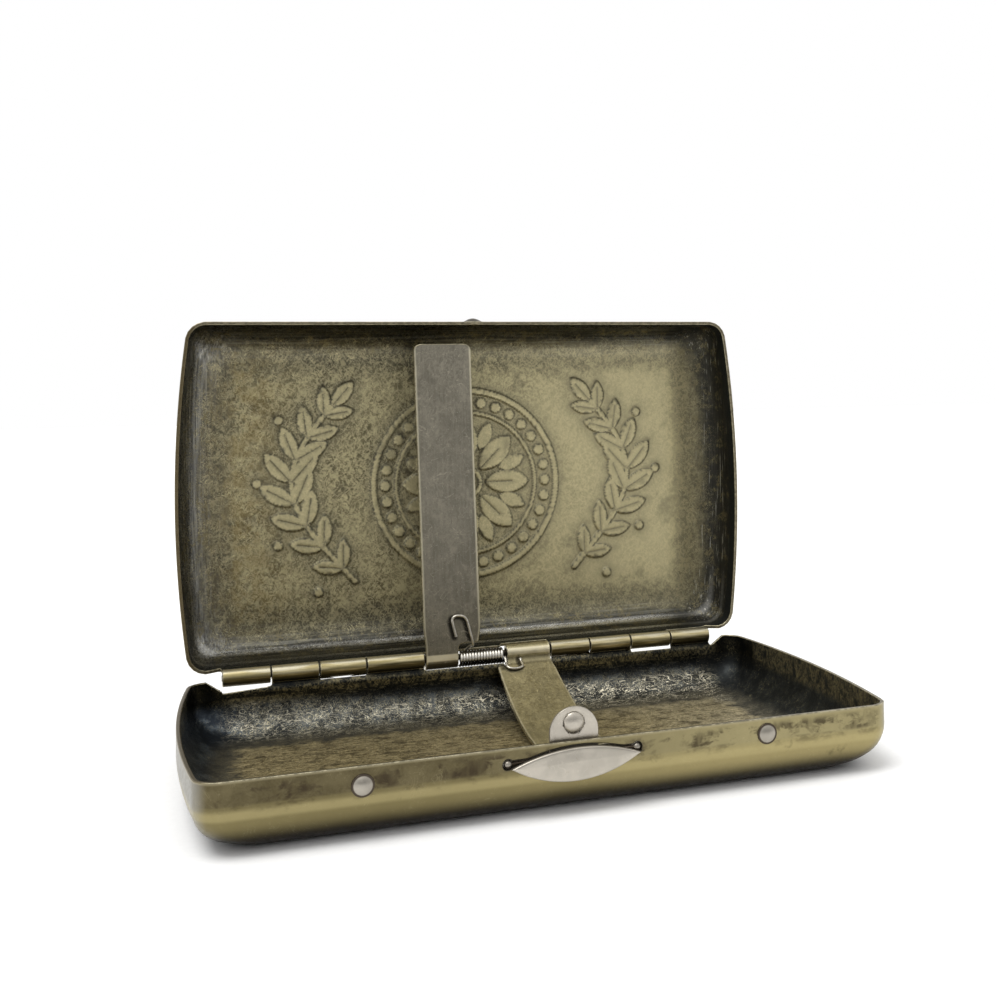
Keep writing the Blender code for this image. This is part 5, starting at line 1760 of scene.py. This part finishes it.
def clasp_tongue():
    """Round-topped plate with its stud, a shallow ring round that and a step inside the edge."""
    low, high = solid_box("catch_tongue")
    width = (high[0] - low[0]) / 2
    shoulder = high[2] - width
    middle = -HALF_WIDTH + SHEET + GAP + 0.275
    plate = arc((0.0, shoulder), width, 0.0, math.pi, 40)
    plate += [(x, low[2]) for x in np.linspace(-width, width, 20)]
    extra = [(x, z) for x in np.arange(-width, width, 0.16) for z in np.arange(low[2], high[2], 0.16)
             if math.hypot(x, z - STUD_Z) > 1.62]
    for ring in (0.3, 0.6, 0.85, 1.03, 1.15, STUD_RADIUS, 1.30, 1.42, 1.56):
        extra += arc((0.0, STUD_Z), ring, 0.0, 2 * math.pi * 39 / 40, 39)
    extra.append((0.0, STUD_Z))
    found, faces = fill_sheet(plate, np.arange(low[2] + 0.3, shoulder, 0.3), extra=extra, margin=0.2)

    def pressed(x, z):
        away = math.hypot(x, z - STUD_Z)
        rise = -0.04 * math.exp(-((away - 1.36) / 0.14) ** 2)
        if away < STUD_RADIUS:
            rise += 0.5 * (1 - (away / STUD_RADIUS) ** 2) ** 0.8
        else:
            inward = width - math.hypot(x, z - shoulder) if z > shoulder else width - abs(x)
            rise -= 0.11 / (1 + math.exp(-(inward - 0.62) / 0.07))
        return (x, middle - rise, z)

    sheet = SheetMesh()
    sheet.triangles(found, faces, pressed)
    tongue = new_object("clasp_tongue_plate", sheet.points, sheet.faces, [metal("satin_nickel")])
    merge_and_orient(tongue)
    thicken(tongue, 0.5)
    round_edges(tongue, 0.1 * MM, -1, 62.0)
    return baked(tongue)


def clasp_pivot():
    """Thin rod with a ball at each end."""
    ball, rod = 0.5, 0.25
    profile = [(-PIVOT_REACH - ball, 0.0)]
    profile += arc((-PIVOT_REACH, 0.0), ball, math.pi, math.asin(rod / ball), 12)[1:]
    profile += [(-x, r) for x, r in reversed(profile)]
    pin = turned_piece("clasp_pivot_pin", profile, 20, [metal("pivot_nickel")])
    pin.data.transform(Matrix.Rotation(-math.pi / 2, 4, "Z"))
    pin.data.transform(Matrix.Rotation(-math.atan(CLASP_SKEW), 4, "Y"))
    pin.data.transform(Matrix.Translation(Vector((SLOT_SHIFT, -HALF_WIDTH + SHEET / 2, PIVOT_Z)) * MM))
    return pin


class CASE_OT_clasp(bpy.types.Operator):
    """Oval rocker button, catch tongue with its stud, and the ball-ended pin"""
    bl_idname = "case.clasp"
    bl_label = "Build clasp"

    def execute(self, context):
        for piece, body, node in ((clasp_button(), "clasp", "clasp_button"), (clasp_tongue(), "clasp", "catch_tongue"),
                                  (clasp_pivot(), "tray", "clasp_pin")):
            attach(piece, body)
            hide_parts(node)
        return {"FINISHED"}


class CASE_OT_rivets(bpy.types.Operator):
    """The two round-headed rivets of the clasp spring"""
    bl_idname = "case.rivets"
    bl_label = "Build rivets"

    def execute(self, context):
        spacing = settings("case_clasp").rivet_spacing
        seat = -HALF_WIDTH - 0.04
        tail = -HALF_WIDTH + SHEET + GAP + 0.35 + 0.04
        profile = [(tail + 0.5, 0.0), (tail + 0.44, 0.7), (tail + 0.2, 1.05), (tail, 1.1), (tail, 0.55), (seat, 0.55),
                   (seat, 1.40), (seat - 0.05, 1.44), (seat - 0.10, 1.41), (seat - 0.11, 1.34), (seat - 0.09, 1.24)]
        profile += dome(seat - 0.10, 1.22, 0.40)
        rivet = turned_piece("clasp_rivets", profile, 32, [metal("rivet_nickel")])
        local = points_of(rivet.data)
        reach = np.hypot(local[:, 0], local[:, 2])
        store(rivet.data, "ring", np.where((reach > 1.21) & (local[:, 1] < seat), 1.0, 0.0))
        rivet.data.set_sharp_from_angle(angle=math.radians(50))
        low, high = solid_box("clasp_rivet_left")
        height = (low[2] + high[2]) / 2 * MM
        row_tree().run(rivet, {
            "Count": 2,
            "Start": (-spacing / 2, 0.0, height + 0.05 * MM),
            "Step": (spacing, 0.0, 0.3 * MM),
            "Metal": metal("rivet_nickel"),
        })
        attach(rivet, "tray")
        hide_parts("clasp_rivet_left", "clasp_rivet_right")
        return {"FINISHED"}


class CASE_OT_carried_over(bpy.types.Operator):
    """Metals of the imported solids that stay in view"""
    bl_idname = "case.carried_over"
    bl_label = "Finish carried over solids"

    def execute(self, context):
        for node, name in (("hinge_pin", "pin_steel"), ("clasp_spring", "spring_steel")):
            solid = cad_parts[node]
            for slot in solid.material_slots:
                slot.material = metal(name)
        return {"FINISHED"}


class CASE_OT_stage(bpy.types.Operator):
    """Pale floor, soft lamp and the camera"""
    bl_idname = "case.stage"
    bl_label = "Build stage"

    def execute(self, context):
        scene = context.scene
        scene.view_settings.view_transform = "Standard"
        stage = settings("case_stage")

        steps = [-1600.0, -800.0, -400.0, 0.0, 400.0, 800.0, 1600.0]
        sheet = SheetMesh()
        sheet.grid([[(x, y, 0.0) for x in steps] for y in steps])
        floor = new_object("stage_floor", sheet.points, sheet.faces, [floor_material()])

        scene.world = studio_world()
        lamp = bpy.data.lights.new("key", "SUN")
        lamp.energy = stage.key_strength
        lamp.angle = math.radians(34.0)
        shine = Vector((0.36, 0.16, -0.92))
        in_scene("key", lamp).rotation_euler = shine.to_track_quat("-Z", "Y").to_euler()

        data = bpy.data.cameras.new("photo camera")
        data.lens = stage.lens
        data.sensor_width = 36.0
        data.shift_x = -0.1805
        data.shift_y = -0.17
        data.clip_start = 0.01
        scene.camera = in_scene("photo camera", data)
        scene.camera.location = stage.camera_place
        scene.camera.rotation_euler = stage.camera_turn
        return {"FINISHED"}


OPERATORS = (
    CASE_OT_tray_shell,
    CASE_OT_lid_shell,
    CASE_OT_holding_arms,
    CASE_OT_arm_spring,
    CASE_OT_clasp,
    CASE_OT_rivets,
    CASE_OT_carried_over,
    CASE_OT_stage,
)


class CASE_PT_panel(bpy.types.Panel):
    """Lists the steps that build the case"""
    bl_idname = "CASE_PT_panel"
    bl_label = "Flat case"
    bl_space_type = "VIEW_3D"
    bl_region_type = "UI"
    bl_category = "Flat case"

    def draw(self, context):
        layout = self.layout
        for group, kind in GROUPS:
            box = layout.box()
            for name in kind.__annotations__:
                box.prop(getattr(context.scene, group), name)
        for operator in OPERATORS:
            layout.operator(operator.bl_idname)


GROUPS = (
    ("case_shell", CaseShellSettings),
    ("case_spring", CaseSpringSettings),
    ("case_clasp", CaseClaspSettings),
    ("case_colours", CaseColourSettings),
    ("case_stage", CaseStageSettings),
)


def register():
    for group, kind in GROUPS:
        bpy.utils.register_class(kind)
        setattr(bpy.types.Scene, group, bpy.props.PointerProperty(type=kind))
    for operator in OPERATORS:
        bpy.utils.register_class(operator)
    bpy.utils.register_class(CASE_PT_panel)


def unregister():
    bpy.utils.unregister_class(CASE_PT_panel)
    for operator in reversed(OPERATORS):
        bpy.utils.unregister_class(operator)
    for group, kind in reversed(GROUPS):
        delattr(bpy.types.Scene, group)
        bpy.utils.unregister_class(kind)


def main():
    register()
    bpy.ops.case.tray_shell()
    bpy.ops.case.lid_shell()
    bpy.ops.case.holding_arms()
    bpy.ops.case.arm_spring()
    bpy.ops.case.clasp()
    bpy.ops.case.rivets()
    bpy.ops.case.carried_over()
    bpy.ops.case.stage()


if __name__ == "__main__":
    main()
